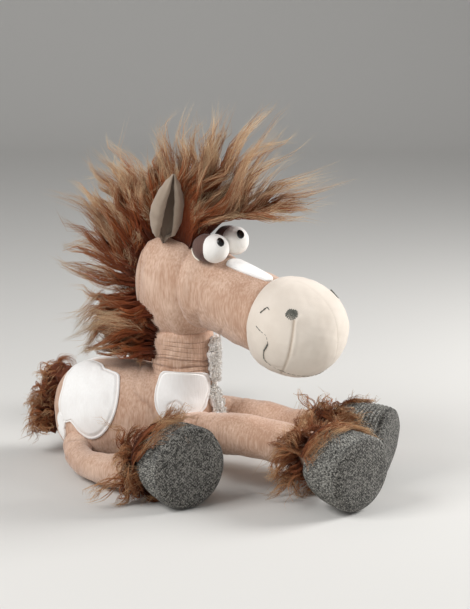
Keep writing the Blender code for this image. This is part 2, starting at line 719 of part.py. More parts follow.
def make_nostril(side):
    """A low embroidered dome on the muzzle's side."""
    place, out = on_muzzle(SIDES[side] * NOSTRIL_ASIDE, NOSTRIL_ABOVE, CLEARANCE)
    across = unit(np.cross(out, (0, 0, 1)))
    up = np.cross(across, out)
    loops = []
    for share, lift in ((1.0, -OVERRUN / 2), (1.0, 0.4), (0.8, 0.85)):
        height = lift if lift < 0 else lift * NOSTRIL_THICKNESS
        size = np.array([share * NOSTRIL_RADIUS])
        loops.append(ellipse_rings((place + out * height)[None], across[None], up[None], size, size, 12)[0])
    shape = skin(np.array(loops), None, place + out * NOSTRIL_THICKNESS)
    return new_object(f"nostril_{side}", *shape, head_frame())


def make_mouth():
    """The stitched smile round the back of the muzzle, one raised line."""
    aside = smooth_shares(MOUTH_ASIDES, MOUTH_STEPS)
    above = smooth_shares(MOUTH_ABOVES, MOUTH_STEPS)
    places, out = on_muzzle(aside, above, CLEARANCE + MOUTH_THICKNESS / 4)
    ahead = np.gradient(places, axis=0)
    ahead /= np.linalg.norm(ahead, axis=1)[:, None]
    across = np.cross(out, ahead)
    half = np.full(len(places), MOUTH_THICKNESS / 2)
    loops = ellipse_rings(places, across, out, half, half, 6)
    return new_object("mouth_stitch", *skin(loops), head_frame())


def sphere_shape(centre, radius, segments=EYE_SEGMENTS):
    turn = np.linspace(0, math.pi, segments // 2 + 1)[1:-1]
    centres = np.asarray(centre, float) + np.stack([-np.cos(turn), 0 * turn, 0 * turn], axis=1) * radius
    rights = np.tile([0.0, 1.0, 0.0], (len(turn), 1))
    ups = np.tile([0.0, 0.0, 1.0], (len(turn), 1))
    size = np.sin(turn) * radius
    loops = ellipse_rings(centres, rights, ups, size, size, segments)
    step = np.array([radius, 0, 0])
    return skin(loops, np.asarray(centre) - step, np.asarray(centre) + step)


def eye_centre(side):
    return np.array([EYE_FORWARD, SIDES[side] * EYE_ASIDE, EYE_RISE])


def make_eye(side):
    return new_object(f"eye_{side}", *sphere_shape(eye_centre(side), EYE_RADIUS), head_frame())


def make_pupil(side):
    """A flat oval bead on the eye, where it looks."""
    out = unit(GAZE)
    across = unit(np.cross(out, (0, 0, 1)))
    up = np.cross(across, out)
    base = eye_centre(side) + out * (EYE_RADIUS + CLEARANCE)
    loops = []
    for share, lift in ((1.0, -OVERRUN / 4), (1.0, 0.4 * PUPIL_THICKNESS), (0.75, 0.85 * PUPIL_THICKNESS)):
        size = np.array([share * PUPIL_RADIUS])
        loops.append(ellipse_rings((base + out * lift)[None], across[None], up[None], size,
                                   size * PUPIL_LONG_SHARE, 12)[0])
    shape = skin(np.array(loops), None, base + out * PUPIL_THICKNESS)
    return new_object(f"pupil_{side}", *shape, head_frame())


def make_eyelid(side):
    """The smooth pad that the eye's back sits in."""
    centre = eye_centre(side) + np.array([-EYELID_BACK, SIDES[side] * EYELID_OUT, -EYELID_DROP])
    return new_object(f"eyelid_{side}", *sphere_shape(centre, EYELID_RADIUS), head_frame())


def ear_root(side):
    """The ear's ball, set into the top of the head."""
    l, f = SIDES[side] * EAR_ASIDE, -EAR_BACK
    ring = (1 - abs(f / (HEAD_LENGTH / 2)) ** HEAD_POWER) ** (1 / HEAD_POWER)
    left = 1 - abs(l / (ring * HEAD_WIDTH / 2)) ** HEAD_SECTION_POWER
    return np.array([f, l, left ** (1 / HEAD_SECTION_POWER) * ring * HEAD_HEIGHT / 2])


def ear_axes(side):
    """Up along the ear, and the direction that its open fold faces."""
    up = unit((EAR_LEAN_FORWARD, SIDES[side] * EAR_LEAN_OUT, 1.0))
    facing = unit(np.cross(np.cross(up, (0.55, SIDES[side] * 0.84, 0.0)), up))
    return up, facing


def make_ear(side):
    """A folded leaf of suede on a gathered root."""
    up, facing = ear_axes(side)
    across = np.cross(up, facing)
    rows = np.linspace(0, 1, EAR_ROWS)
    columns = np.linspace(-1, 1, EAR_COLUMNS)
    width = EAR_HALF_WIDTH * np.clip(np.sin(math.pi * (0.14 + 0.83 * rows ** 0.85)), 0.1, None)
    cup = math.radians(EAR_CUP)
    turn = columns * cup
    aside = width[:, None] * np.sin(turn)[None] / math.sin(cup)
    depth = width[:, None] * (math.cos(cup) - np.cos(turn)[None]) / math.sin(cup)
    root = ear_root(side)
    height = EAR_BALL_RADIUS * 0.3 + rows * EAR_LENGTH
    points = (root + height[:, None, None] * up + aside[..., None] * across + depth[..., None] * facing)
    faces = []
    for i in range(EAR_ROWS - 1):
        for j in range(EAR_COLUMNS - 1):
            k = i * EAR_COLUMNS + j
            faces.append((k, k + 1, k + EAR_COLUMNS + 1, k + EAR_COLUMNS))
    ear = new_object(f"ear_{side}", points.reshape(-1, 3), faces, head_frame())
    wall = ear.modifiers.new("Wall", "SOLIDIFY")
    wall.thickness = EAR_THICKNESS
    wall.offset = 0.0
    ball = new_object(f"ear_{side}_ball", *sphere_shape(root, EAR_BALL_RADIUS, 12), head_frame())
    join(ear, [ball])
    return ear


def ear_socket(side):
    """What the ear's root sweeps as it flops outwards."""
    up, facing = ear_axes(side)
    root = ear_root(side)
    leaf = root + up * EAR_LENGTH / 4 - facing * EAR_THICKNESS
    balls = [(root, EAR_BALL_RADIUS), (leaf, EAR_HALF_WIDTH)]
    angles = (0.0, EAR_SWING / 2, EAR_SWING)
    return swing_cutter(f"ear_{side}_sweep", root, (-SIDES[side], 0, 0), angles, balls, head_frame())


def snout_surface(forward, degrees, lift):
    angle = np.radians(degrees)
    centre = snout_centre(forward)
    across = np.sin(angle) * (SNOUT_RADIUS * SNOUT_WIDTH_SHARE + lift)
    up = np.cos(angle) * (SNOUT_RADIUS + lift)
    return centre + np.stack([0 * across, across, up], axis=-1)


def make_blaze():
    """The white strip along the nose bridge."""
    middle = (BLAZE_START + MUZZLE_SEAM_FORWARD - BLAZE_MARGIN) / 2
    half = (MUZZLE_SEAM_FORWARD - BLAZE_MARGIN - BLAZE_START) / 2

    def outline(rho, around):
        c, s = np.cos(around), np.sin(around)
        corner = 1 / np.maximum(np.abs(c), np.abs(s)) ** 0.6
        return middle + half * rho * c * corner, BLAZE_HALF_ROUND * rho * s * corner

    return skin_patch("blaze", snout_surface, outline, PATCH_THICKNESS, head_frame(), rows=2)


# Fur masses


def fan_mass(name, hub, first, last, frame):
    """The dense fur of the head as a fan in a frame's XZ plane about a hub, with locks out of its rim."""
    stations = len(HEAD_MANE_REACH_SHARES) + 2
    angles = np.radians(np.linspace(first, last, stations))
    shares = smooth_shares(HEAD_MANE_REACH_SHARES, stations)
    outer = shares * HEAD_MANE_REACH
    ways = np.stack([np.cos(angles), 0 * angles, np.sin(angles)], axis=1)
    centres = hub + ways * ((outer + MANE_INNER) / 2)[:, None]
    across = np.tile([0.0, 1.0, 0.0], (stations, 1))
    edge = np.sin(np.linspace(0.5, math.pi - 0.5, stations)) ** 0.4
    half_sizes = HEAD_MANE_WIDTH / 2 * edge, (outer - MANE_INNER) / 2
    loops = ellipse_rings(centres, across, ways, *half_sizes, MANE_SIDES, flare=MANE_FLARE_SHARE)
    mass = new_object(name, *skin(loops), frame)
    locks = []
    for k in range(HEAD_MANE_LOCKS):
        share = (k + 0.5) / HEAD_MANE_LOCKS
        angle = math.radians(first + (last - first) * share)
        reach = np.interp(share, np.linspace(0, 1, stations), shares)
        way = np.array([math.cos(angle), 0.0, math.sin(angle)])
        aside = np.array([0.0, (k % 3 - 1) * TUFT_SPREAD_SHARE * HEAD_MANE_WIDTH, 0.0])
        root = hub + way * (HEAD_MANE_REACH * reach - TUFT_RADIUS * 2) + aside / 2
        tip = hub + way * HEAD_MANE_LOCK_REACH * reach * MANE_LOCK_SHARES[k % 2] + aside
        locks.append(tuft(f"{name}_lock_{k}", root, tip, TUFT_RADIUS, frame))
    join(mass, locks)
    return mass


def make_head_mane():
    hub = np.array([0, 0, HEAD_MANE_HUB_RISE])
    return fan_mass("head_mane", hub, *HEAD_MANE_ANGLES, head_frame())


def make_neck_mane():
    """Fur behind the neck, from below the turning head down to the withers."""
    heights = np.linspace(NECK_MANE_BOTTOM, NECK_MANE_TOP, 6)
    shares = smooth_shares(NECK_MANE_REACH_SHARES[::-1], 6)
    front = NECK_FORWARD
    back = NECK_FORWARD - NECK_RADIUS - shares * NECK_MANE_REACH
    centres = np.stack([(front + back) / 2, 0 * heights, heights], axis=1)
    rights = np.tile([0.0, 1.0, 0.0], (6, 1))
    ahead = np.tile([1.0, 0.0, 0.0], (6, 1))
    half_sizes = np.full(6, NECK_MANE_WIDTH / 2), (front - back) / 2
    loops = ellipse_rings(centres, rights, ahead, *half_sizes, MANE_SIDES)
    mass = new_object("neck_mane", *skin(loops))
    locks = []
    for k in range(NECK_MANE_LOCKS):
        share = (k + 0.5) / NECK_MANE_LOCKS
        height = NECK_MANE_BOTTOM + (NECK_MANE_TOP - NECK_MANE_BOTTOM) * share
        reach = np.interp(height, heights, shares)
        aside = (k % 3 - 1) * NECK_MANE_WIDTH * TUFT_SPREAD_SHARE
        behind = NECK_FORWARD - NECK_RADIUS
        root = (behind - NECK_MANE_REACH * reach + TUFT_RADIUS * 2, aside / 2, height)
        tip = (behind - NECK_MANE_LOCK_REACH * reach * MANE_LOCK_SHARES[k % 2], aside, height)
        locks.append(tuft(f"neck_mane_lock_{k}", root, tip, TUFT_RADIUS))
    join(mass, locks)
    return mass


def tail_root():
    half = TORSO_LENGTH / 2
    rise = TAIL_ROOT_RISE / (TORSO_HEIGHT / 2)
    back = half * (1 - rise ** TORSO_POWER) ** (1 / TORSO_POWER)
    middle = TORSO_HEIGHT / 2 - FLOOR_FLAT
    return np.array([-back + TAIL_BALL_RADIUS * TAIL_ROOT_IN_SHARE, 0.0, middle + TAIL_ROOT_RISE])


def tail_stub_balls():
    """The bound root of the tail, from its joint out into its fur."""
    root = tail_root()
    end = root - np.array([TAIL_FROM_RUMP * TAIL_STUB_SHARE, 0, 0])
    return [(root, TAIL_BALL_RADIUS), (end, TAIL_BALL_RADIUS)]


def turned_torso(torso, angle):
    """The torso, larger all round, where it would be if the tail stood still and it turned."""
    pivot = Vector(tail_root())
    other = grown(torso, TAIL_OFF_RUMP)
    turn = Matrix.Rotation(math.radians(angle), 4, "Y")
    other.matrix_world = Matrix.Translation(pivot) @ turn @ Matrix.Translation(-pivot) @ torso.matrix_world
    return other


def make_tail(torso):
    """Curly fur behind the rump, hung on a bound root."""
    root = tail_root()
    low, high = TAIL_OFF_FLOOR, root[2] + TAIL_ABOVE_ROOT
    shape = egg((high - low) / 2, TAIL_RADIUS, TAIL_RADIUS, TORSO_POWER, TAIL_TAPER_SHARE, 12, 8)
    place = Matrix.Translation((root[0] - TAIL_FROM_RUMP, 0, (low + high) / 2))
    frame = place @ Matrix.Rotation(-math.pi / 2, 4, "Y")
    tail = new_object("tail", *shape, frame)
    cut(tail, [turned_torso(torso, angle) for angle in (0.0, -TAIL_LIFT / 2, -TAIL_LIFT)])
    (inner, size), (outer, _) = tail_stub_balls()
    stub = limb([inner, (inner + outer) / 2, outer], np.full(3, size), size, size, 10, reference=(0, 1, 0))
    locks = []
    near_share, far_share = TAIL_LOCK_SPREAD_SHARES
    for k in range(TAIL_LOCKS):
        height = root[2] * (TAIL_LOCK_TOP_SHARE - TAIL_LOCK_STEP_SHARE * k)
        aside = (k % 3 - 1) * TAIL_RADIUS
        middle = np.array([root[0] - TAIL_FROM_RUMP, aside * near_share, height])
        out, drop = TAIL_RADIUS * TAIL_LOCK_OUT_SHARES[k], TAIL_RADIUS * TAIL_LOCK_DROP_SHARE
        tip = middle + (-out, aside * far_share, -drop)
        locks.append(tuft(f"tail_lock_{k}", middle, tip, TUFT_RADIUS * TAIL_LOCK_RADIUS_SHARE))
    join(tail, [*locks, hide(new_object("tail_stub", *stub))])
    return tail


# Legs


def leg_route(kind, side):
    """World points of a leg from its joint to its ankle, and the way that its hoof points."""
    sign = SIDES[side]
    if kind == "fore":
        start = np.array([SHOULDER_FORWARD, SHOULDER_ASIDE * sign, SHOULDER_RISE])
        shares = FORE_RIGHT_ROUTE_SHARES if side == "right" else FORE_LEFT_ROUTE_SHARES
        steps = np.array(shares) * FORE_LEG_REACH
        axis = unit(FORE_RIGHT_HOOF_AXIS if side == "right" else FORE_LEFT_HOOF_AXIS)
        return np.vstack([start, start + steps]), axis
    start = np.array([-HIP_BACK, HIP_ASIDE * sign, HIP_RISE])
    steps = np.array(HIND_ROUTE_SHARES) * HIND_LEG_REACH
    axis = unit(HIND_HOOF_AXIS)
    if side == "left":
        steps = np.array([turned(p * (1, -1, 1), (0, 0, 1), FAR_HIND_SWING) for p in steps])
        axis = turned(axis * (1, -1, 1), (0, 0, 1), FAR_HIND_SWING)
    return np.vstack([start, start + steps]), axis


def leg_sizes(kind):
    if kind == "fore":
        return FORE_LEG_RADIUS, SHOULDER_BALL_RADIUS, FORE_HOOF_RADIUS, FORE_HOOF_LENGTH
    return HIND_LEG_RADIUS, HIP_BALL_RADIUS, HIND_HOOF_RADIUS, HIND_HOOF_LENGTH


def leg_radii(kind):
    radius, ball, _, _ = leg_sizes(kind)
    shares = FORE_LEG_SHARES if kind == "fore" else HIND_LEG_SHARES
    return smooth_shares((ball / radius, *shares, ANKLE_BALL_RADIUS / radius), LEG_RINGS) * radius


def make_leg(kind, side):
    route, _ = leg_route(kind, side)
    _, ball, _, _ = leg_sizes(kind)
    shape = limb(route, leg_radii(kind), ball, ANKLE_BALL_RADIUS, LEG_SIDES)
    return new_object(f"{kind}_leg_{side}", *shape)


def round_frame(place, ahead):
    """A frame at the place whose X runs ahead, with Z as near upright as it can."""
    across = unit(np.cross((0, 0, 1), ahead))
    up = np.cross(ahead, across)
    turn = Matrix((ahead, across, up)).transposed().to_4x4()
    return Matrix.Translation(place) @ turn


def turned_form(name, stations, radii, sides, frame, first_tip=None, last_tip=None, lobes=0.0, rim=0.0):
    """A round form along its frame's X, with an optional ripple round it."""
    stations, radii = np.asarray(stations, float), np.asarray(radii, float)
    around = np.arange(sides) * 2 * math.pi / sides
    ripple = 1 + lobes * np.cos(CUFF_LOBES * around)[None, :]
    x = stations[:, None] + np.zeros((1, sides))
    x[-1] += rim * np.cos(CUFF_LOBES * around)
    x[0] -= rim * 0.5 * np.sin(CUFF_LOBES * around)
    reach = radii[:, None] * ripple
    loops = np.stack([x, reach * np.cos(around), reach * np.sin(around)], axis=-1)
    tips = [None if tip is None else (tip, 0, 0) for tip in (first_tip, last_tip)]
    return new_object(name, *skin(loops, *tips), frame)


def make_hoof(kind, side):
    """The knitted hoof, widening from the ankle to its sole."""
    route, axis = leg_route(kind, side)
    _, _, radius, length = leg_sizes(kind)
    start = -ANKLE_BALL_RADIUS * HOOF_START_SHARE
    span = length - SOLE_THICKNESS - start
    stations = start + span * np.array(HOOF_STATION_SHARES)
    radii = radius * np.array(HOOF_RADIUS_SHARES)
    return turned_form(f"{kind}_hoof_{side}", stations, radii, HOOF_SIDES, round_frame(route[-1], axis))


def make_sole(kind, side):
    """The stuffed sole, a low dome that closes the hoof."""
    route, axis = leg_route(kind, side)
    _, _, radius, length = leg_sizes(kind)
    back = length - SOLE_THICKNESS + CLEARANCE
    stations = back + SOLE_THICKNESS * np.array(SOLE_STATION_SHARES)
    radii = radius * np.array(SOLE_RADIUS_SHARES)
    frame = round_frame(route[-1], axis)
    tip = length + CLEARANCE
    return turned_form(f"{kind}_sole_{side}", stations, radii, HOOF_SIDES, frame, None, tip)


def make_cuff(kind, side):
    """Long fur gathered round the ankle, rippled into locks."""
    route, axis = leg_route(kind, side)
    _, _, radius, _ = leg_sizes(kind)
    stations = radius * np.array(CUFF_STATION_SHARES)
    radii = radius * np.array(CUFF_RADIUS_SHARES)
    return turned_form(f"{kind}_cuff_{side}", stations, radii, CUFF_SIDES, round_frame(route[-1], axis),
                       lobes=CUFF_LOBE_SHARE, rim=radius * CUFF_RIM_SHARE)


def leg_balls(kind, side, first, last):
    """Some of the places along a leg with its radii there."""
    route, _ = leg_route(kind, side)
    places, _ = even_route(route, LEG_RINGS)
    radii = leg_radii(kind)
    return [(places[i], radii[i]) for i in range(first, last)]


def ankle_sweep(kind, side):
    """What the leg's end sweeps in the frame of its hoof, as the ankle turns."""
    route, _ = leg_route(kind, side)
    balls = [(route[-1], ANKLE_BALL_RADIUS), *leg_balls(kind, side, LEG_RINGS - 4, LEG_RINGS)]
    angles = (-ANKLE_SWING, 0.0, ANKLE_SWING)
    return swing_cutter(f"{kind}_ankle_sweep_{side}", route[-1], (0, 0, 1), angles, balls)


def shoulder_axis(side):
    """Level axis that lifts a front leg up and outwards."""
    outwards, forwards = SHOULDER_AXIS_SHARES
    return unit((SIDES[side] * outwards, forwards, 0.0))


def root_sweep(kind, side):
    """What a leg's root sweeps in the torso over the joint's range."""
    route, _ = leg_route(kind, side)
    _, ball, _, _ = leg_sizes(kind)
    if kind == "fore":
        axis, end = shoulder_axis(side), SHOULDER_LIFT
    else:
        axis, end = (0.0, 0.0, SIDES[side]), HIP_SWING if side == "right" else -FAR_HIND_SWING
    balls = [(route[0], ball), *leg_balls(kind, side, 0, 4)]
    angles = np.linspace(0.0, end, 4)
    return swing_cutter(f"{kind}_root_sweep_{side}", route[0], axis, angles, balls)


# The whole horse


def build_legs(torso, root):
    """Each leg with its cuff, hoof and sole, and the sweeps that make room for them."""
    sweeps = []
    for kind in ("fore", "hind"):
        for side in SIDES:
            route, _ = leg_route(kind, side)
            leg_body = joint_empty(f"{kind}_leg_{side}_joint", Matrix.Translation(route[0]), root)
            ankle = joint_empty(f"{kind}_ankle_{side}_joint", Matrix.Translation(route[-1]), leg_body)
            leg = make_leg(kind, side)
            hoof, sole, cuff = (make(kind, side) for make in (make_hoof, make_sole, make_cuff))
            floor = level_box(f"{kind}_floor_{side}", TORSO_LENGTH * 2)
            cut(cuff, [ankle_sweep(kind, side), grown(hoof), floor])
            cut(hoof, [ankle_sweep(kind, side), floor])
            cut(sole, [floor])
            dress(leg, "plush", leg_body)
            dress(hoof, "knit", ankle)
            dress(sole, "melange", ankle)
            dress(cuff, "mane", ankle)
            sweeps.append(root_sweep(kind, side))
    return sweeps


def build_head(neck_body, neck):
    """The head and all that rides on it."""
    body = joint_empty("head_joint", head_frame(), neck_body)
    head, snout, muzzle = make_head(), make_snout(), make_muzzle()
    sockets = [ear_socket(side) for side in SIDES]
    ears = [make_ear(side) for side in SIDES]
    eyes = [make_eye(side) for side in SIDES]
    lids = [make_eyelid(side) for side in SIDES]
    pupils = [make_pupil(side) for side in SIDES]
    mane = make_head_mane()
    blaze, mouth = make_blaze(), make_mouth()
    nostrils = [make_nostril(side) for side in SIDES]
    cut(head, [grown(neck), *sockets])
    cut(snout, [grown(head), grown(muzzle), grown(neck)])
    for eye in eyes:
        cut(eye, [grown(head), grown(snout)])
    for lid, eye in zip(lids, eyes):
        cut(lid, [grown(head), grown(snout), grown(eyes[0]), grown(eyes[1])])
    for pupil, eye in zip(pupils, eyes):
        cut(pupil, [grown(eye)])
    below = level_box("mane_parting", TORSO_LENGTH * 2, NECK_MANE_TOP + MANE_PARTING)
    cut(mane, [below, *[grown(part) for part in (head, snout, *eyes, *lids, *pupils)]])
    for trim in (*nostrils, mouth):
        cut(trim, [grown(muzzle)])
    cut(blaze, [grown(part) for part in (snout, *eyes)])
    for piece, finish in ((head, "plush"), (snout, "plush"), (muzzle, "suede"), (mane, "mane"),
                          (blaze, "white_plush"), (mouth, "thread")):
        dress(piece, finish, body)
    for pieces, finish in ((eyes, "eye"), (lids, "lid"), (pupils, "pupil"), (nostrils, "thread")):
        for piece in pieces:
            dress(piece, finish, body)
    for side, ear in zip(SIDES, ears):
        frame = head_frame() @ Matrix.Translation(ear_root(side))
        dress(ear, "ear_suede", joint_empty(f"ear_{side}_joint", frame, body))
    return head


def build():
    clear_scene()
    root = joint_empty("root", Matrix.Identity(4))
    torso, neck = make_torso(), make_neck()
    neck_body = joint_empty("neck_joint", Matrix.Translation(neck_pivot()), root)
    tail_body = joint_empty("tail_joint", Matrix.Translation(tail_root()), root)
    leg_sweeps = build_legs(torso, root)
    throat, chest, neck_mane, tail = throat_fleece(), chest_fleece(), make_neck_mane(), make_tail(torso)
    head = build_head(neck_body, neck)
    pivot, radius = neck_pivot(), NECK_RADIUS + NECK_FOLD_DEPTH
    top = pivot + np.array([0, 0, NECK_VISIBLE_LENGTH * 2])
    leans = (NECK_LEAN_RANGE[0], 0.0, NECK_LEAN_RANGE[1])
    neck_sweep = swing_cutter("neck_sweep", pivot, (0, -1, 0), leans, [(pivot, NECK_RADIUS), (top, radius)])
    lifts = (0.0, TAIL_LIFT / 2, TAIL_LIFT)
    tail_sweep = swing_cutter("tail_sweep", tail_root(), (0, 1, 0), lifts, tail_stub_balls())
    torso_floor = level_box("torso_floor", TORSO_LENGTH)
    cut(torso, [*leg_sweeps, neck_sweep, tail_sweep, torso_floor])
    head_sweep = hide(new_object("head_sweep", *sphere_shape(
        head_centre(), max(HEAD_LENGTH, HEAD_HEIGHT, HEAD_WIDTH) / 2 + HEAD_SWEEP_MARGIN, 24)))
    mane_top = level_box("neck_mane_top", TORSO_LENGTH * 2, NECK_MANE_TOP, False)
    cut(neck_mane, [grown(neck), head_sweep, mane_top])
    cut(throat, [grown(neck)])
    cut(chest, [grown(torso), neck_sweep])
    patches = [make(side) for side in SIDES for make in (shoulder_patch, flank_patch)]
    for patch in patches:
        cut(patch, [*leg_sweeps, neck_sweep, grown(torso)])
        dress(patch, "white_plush", root)
    dress(torso, "plush", root)
    dress(chest, "fleece", root)
    dress(throat, "fleece", neck_body)
    dress(neck, "plush", neck_body)
    dress(neck_mane, "mane", neck_body)
    dress(tail, "mane", tail_body)


build()
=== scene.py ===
"""Looks of the plush horse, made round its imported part.

Metres, +Z up. The horse lies on its belly, faces +X, and its left side is +Y. The head's pieces are worked out
in the head's own axes, forward, left and up, and then put in place.
"""

import logging
import math
from dataclasses import dataclass
from enum import Enum
from typing import Callable, Optional, Sequence, Union

import bpy
import numpy as np
from mathutils import Matrix, Vector


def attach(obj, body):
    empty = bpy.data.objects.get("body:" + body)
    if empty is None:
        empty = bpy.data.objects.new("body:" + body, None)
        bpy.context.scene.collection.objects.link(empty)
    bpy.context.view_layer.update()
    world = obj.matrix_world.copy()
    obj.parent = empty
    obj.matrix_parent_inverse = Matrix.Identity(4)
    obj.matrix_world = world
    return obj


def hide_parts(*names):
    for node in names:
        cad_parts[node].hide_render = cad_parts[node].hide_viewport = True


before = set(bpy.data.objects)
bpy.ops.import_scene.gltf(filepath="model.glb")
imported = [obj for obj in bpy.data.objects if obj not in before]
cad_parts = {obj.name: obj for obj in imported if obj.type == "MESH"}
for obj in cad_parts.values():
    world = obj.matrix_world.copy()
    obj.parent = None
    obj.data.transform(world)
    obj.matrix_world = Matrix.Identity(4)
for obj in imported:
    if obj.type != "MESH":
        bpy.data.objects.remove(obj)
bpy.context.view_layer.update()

LOG = logging.getLogger("plush_horse")
Array = np.ndarray
Feed = Union[bpy.types.NodeSocket, Sequence[float], float]
TURN = 2 * math.pi
TINY = 1e-12

# The crease mark of a piece that has no creases; elsewhere this mark paints shade into folds, seams and grooves
SMOOTH = {"crease": np.zeros((1, 1))}


class Side(Enum):
    """The two sides of the horse, as the sign of Y."""

    RIGHT = -1.0
    LEFT = 1.0

    @property
    def word(self) -> str:
        """The side's name, as the CAD nodes and bodies have it."""
        return self.name.lower()


class Limb(Enum):
    """The two kinds of leg."""

    FORE = "fore"
    HIND = "hind"


# Working with arrays


def unit(vectors: Array) -> Array:
    """Vectors of length one.

    Args:
        vectors: any array whose last axis is a vector.

    Returns:
        The same array with each vector divided by its length.
    """
    vectors = np.asarray(vectors, float)
    return vectors / np.maximum(np.linalg.norm(vectors, axis=-1, keepdims=True), TINY)


def ease(value: Array, low: float, high: float) -> Array:
    """Smooth step: 0 below low, 1 above high, and 3t^2 - 2t^3 between.

    Args:
        value: what is stepped.
        low: where the step starts.
        high: where it ends.

    Returns:
        An array of shares from 0 to 1.
    """
    t = np.clip((np.asarray(value, float) - low) / (high - low), 0, 1)
    return t * t * (3 - 2 * t)


def wander(points: Array, wavelength: float, seed: int, waves: int = 22) -> Array:
    """A smooth random value at each point: a sum of sine waves of random direction, length and phase.

    Args:
        points: array of points.
        wavelength: the middle one of the waves' lengths.
        seed: picks the waves.
        waves: how many are added.

    Returns:
        Values whose spread is about a half either way.
    """
    rng = np.random.default_rng(seed)
    ways = unit(rng.normal(size=(waves, 3)))
    lengths = wavelength * rng.uniform(0.6, 1.7, waves)
    phases = rng.uniform(0, TURN, waves)
    total = np.sin(points @ (ways * TURN / lengths[:, None]).T + phases).sum(-1)
    return total * 0.5 / math.sqrt(waves / 2)


def through(points: Sequence, count: int) -> Array:
    """Catmull-Rom curve through the points, read at even steps of its parameter.

    Args:
        points: the points, or rows of numbers, that it passes through.
        count: how many are read.

    Returns:
        Array of that many rows.
    """
    points = np.asarray(points, float)
    points = points[:, None] if points.ndim == 1 else points
    padded = np.vstack([2 * points[0] - points[1], points, 2 * points[-1] - points[-2]])
    along = np.linspace(0, len(points) - 1, count)
    start = np.minimum(along.astype(int), len(points) - 2)
    t = (along - start)[:, None]
    p0, p1, p2, p3 = (padded[start + i] for i in range(4))
    return 0.5 * (2 * p1 + (p2 - p0) * t + (2 * p0 - 5 * p1 + 4 * p2 - p3) * t ** 2
                  + (3 * p1 - p0 - 3 * p2 + p3) * t ** 3)


def even_path(points: Sequence, count: int) -> Array:
    """The smooth curve through the points, read at equal steps of its length.

    Args:
        points: the points that it passes through.
        count: how many are read.

    Returns:
        Array (count, 3).
    """
    fine = through(points, count * 12)
    steps = np.concatenate([[0.0], np.cumsum(np.linalg.norm(np.diff(fine, axis=0), axis=1))])
    wanted = np.linspace(0, steps[-1], count)
    return np.stack([np.interp(wanted, steps, fine[:, i]) for i in range(3)], axis=1)


def side_ways(ahead: Array, reference: Array) -> tuple[Array, Array]:
    """Two ways square to each direction, so that side, up and ahead are right-handed.

    Args:
        ahead: unit directions.
        reference: the way that up leans to.

    Returns:
        The side and up vectors.
    """
    side = unit(np.cross(reference, ahead))
    return side, np.cross(ahead, side)


def squared_ring(power: float, sides: int, start: float = 0.0) -> tuple[Array, Array]:
    """Cosine and sine of a superellipse |c|^p + |s|^p = 1 at even angles.

    Args:
        power: the superellipse's power.
        sides: how many points round it.
        start: the first angle.

    Returns:
        The two coordinates.
    """
    angle = start + np.arange(sides) * TURN / sides
    c, s = np.cos(angle), np.sin(angle)
    size = (np.abs(c) ** power + np.abs(s) ** power) ** (-1 / power)
    return c * size, s * size


def apply(matrix: Array, points: Array) -> Array:
    """Points carried by a 4 by 4 matrix."""
    return points @ matrix[:3, :3].T + matrix[:3, 3]


def bump(value: Array, width: float) -> Array:
    """A soft bump exp(-(value / width)^2): 1 where the value is 0, and nearly 0 two widths away."""
    return np.exp(-(value / width) ** 2)


def swayed(lines: Array, wavelength: float, seed: int, amount: Array) -> Array:
    """Lines moved by a smooth random drift that grows from nothing at the root to all of it at the tip.

    Args:
        lines: array (count, knots, 3).
        wavelength: the middle one of the drift's wavelengths.
        seed: picks the drift.
        amount: how far the tips move.

    Returns:
        The lines, moved.
    """
    t = np.linspace(0, 1, lines.shape[1])[None, :, None]
    return lines + np.stack([wander(lines, wavelength, seed + k) for k in range(3)], -1) * amount * t


def smoothed(values: Array, kernel_size: int, wrapped: bool) -> Array:
    """A row of values under a moving mean whose weights rise and fall like a Hann window.

    Args:
        values: the row.
        kernel_size: how many values each mean takes in, an odd number.
        wrapped: whether the row is closed, so that its ends see each other.

    Returns:
        A row of the same length.
    """
    kernel = np.hanning(kernel_size) / np.hanning(kernel_size).sum()
    return np.convolve(np.pad(values, kernel_size // 2, mode="wrap" if wrapped else "edge"), kernel, mode="valid")


def nearest(points: Array, line: Array) -> Array:
    """Distance of each point from the closest of the points along a line.

    Args:
        points: array of points.
        line: array (count, 3) of points along the line.

    Returns:
        An array of distances, one for each point, none over a metre.
    """
    apart = np.full(points.shape[:-1], 1.0)
    for spot in line:
        apart = np.minimum(apart, np.linalg.norm(points - spot, axis=-1))
    return apart


# Meshes


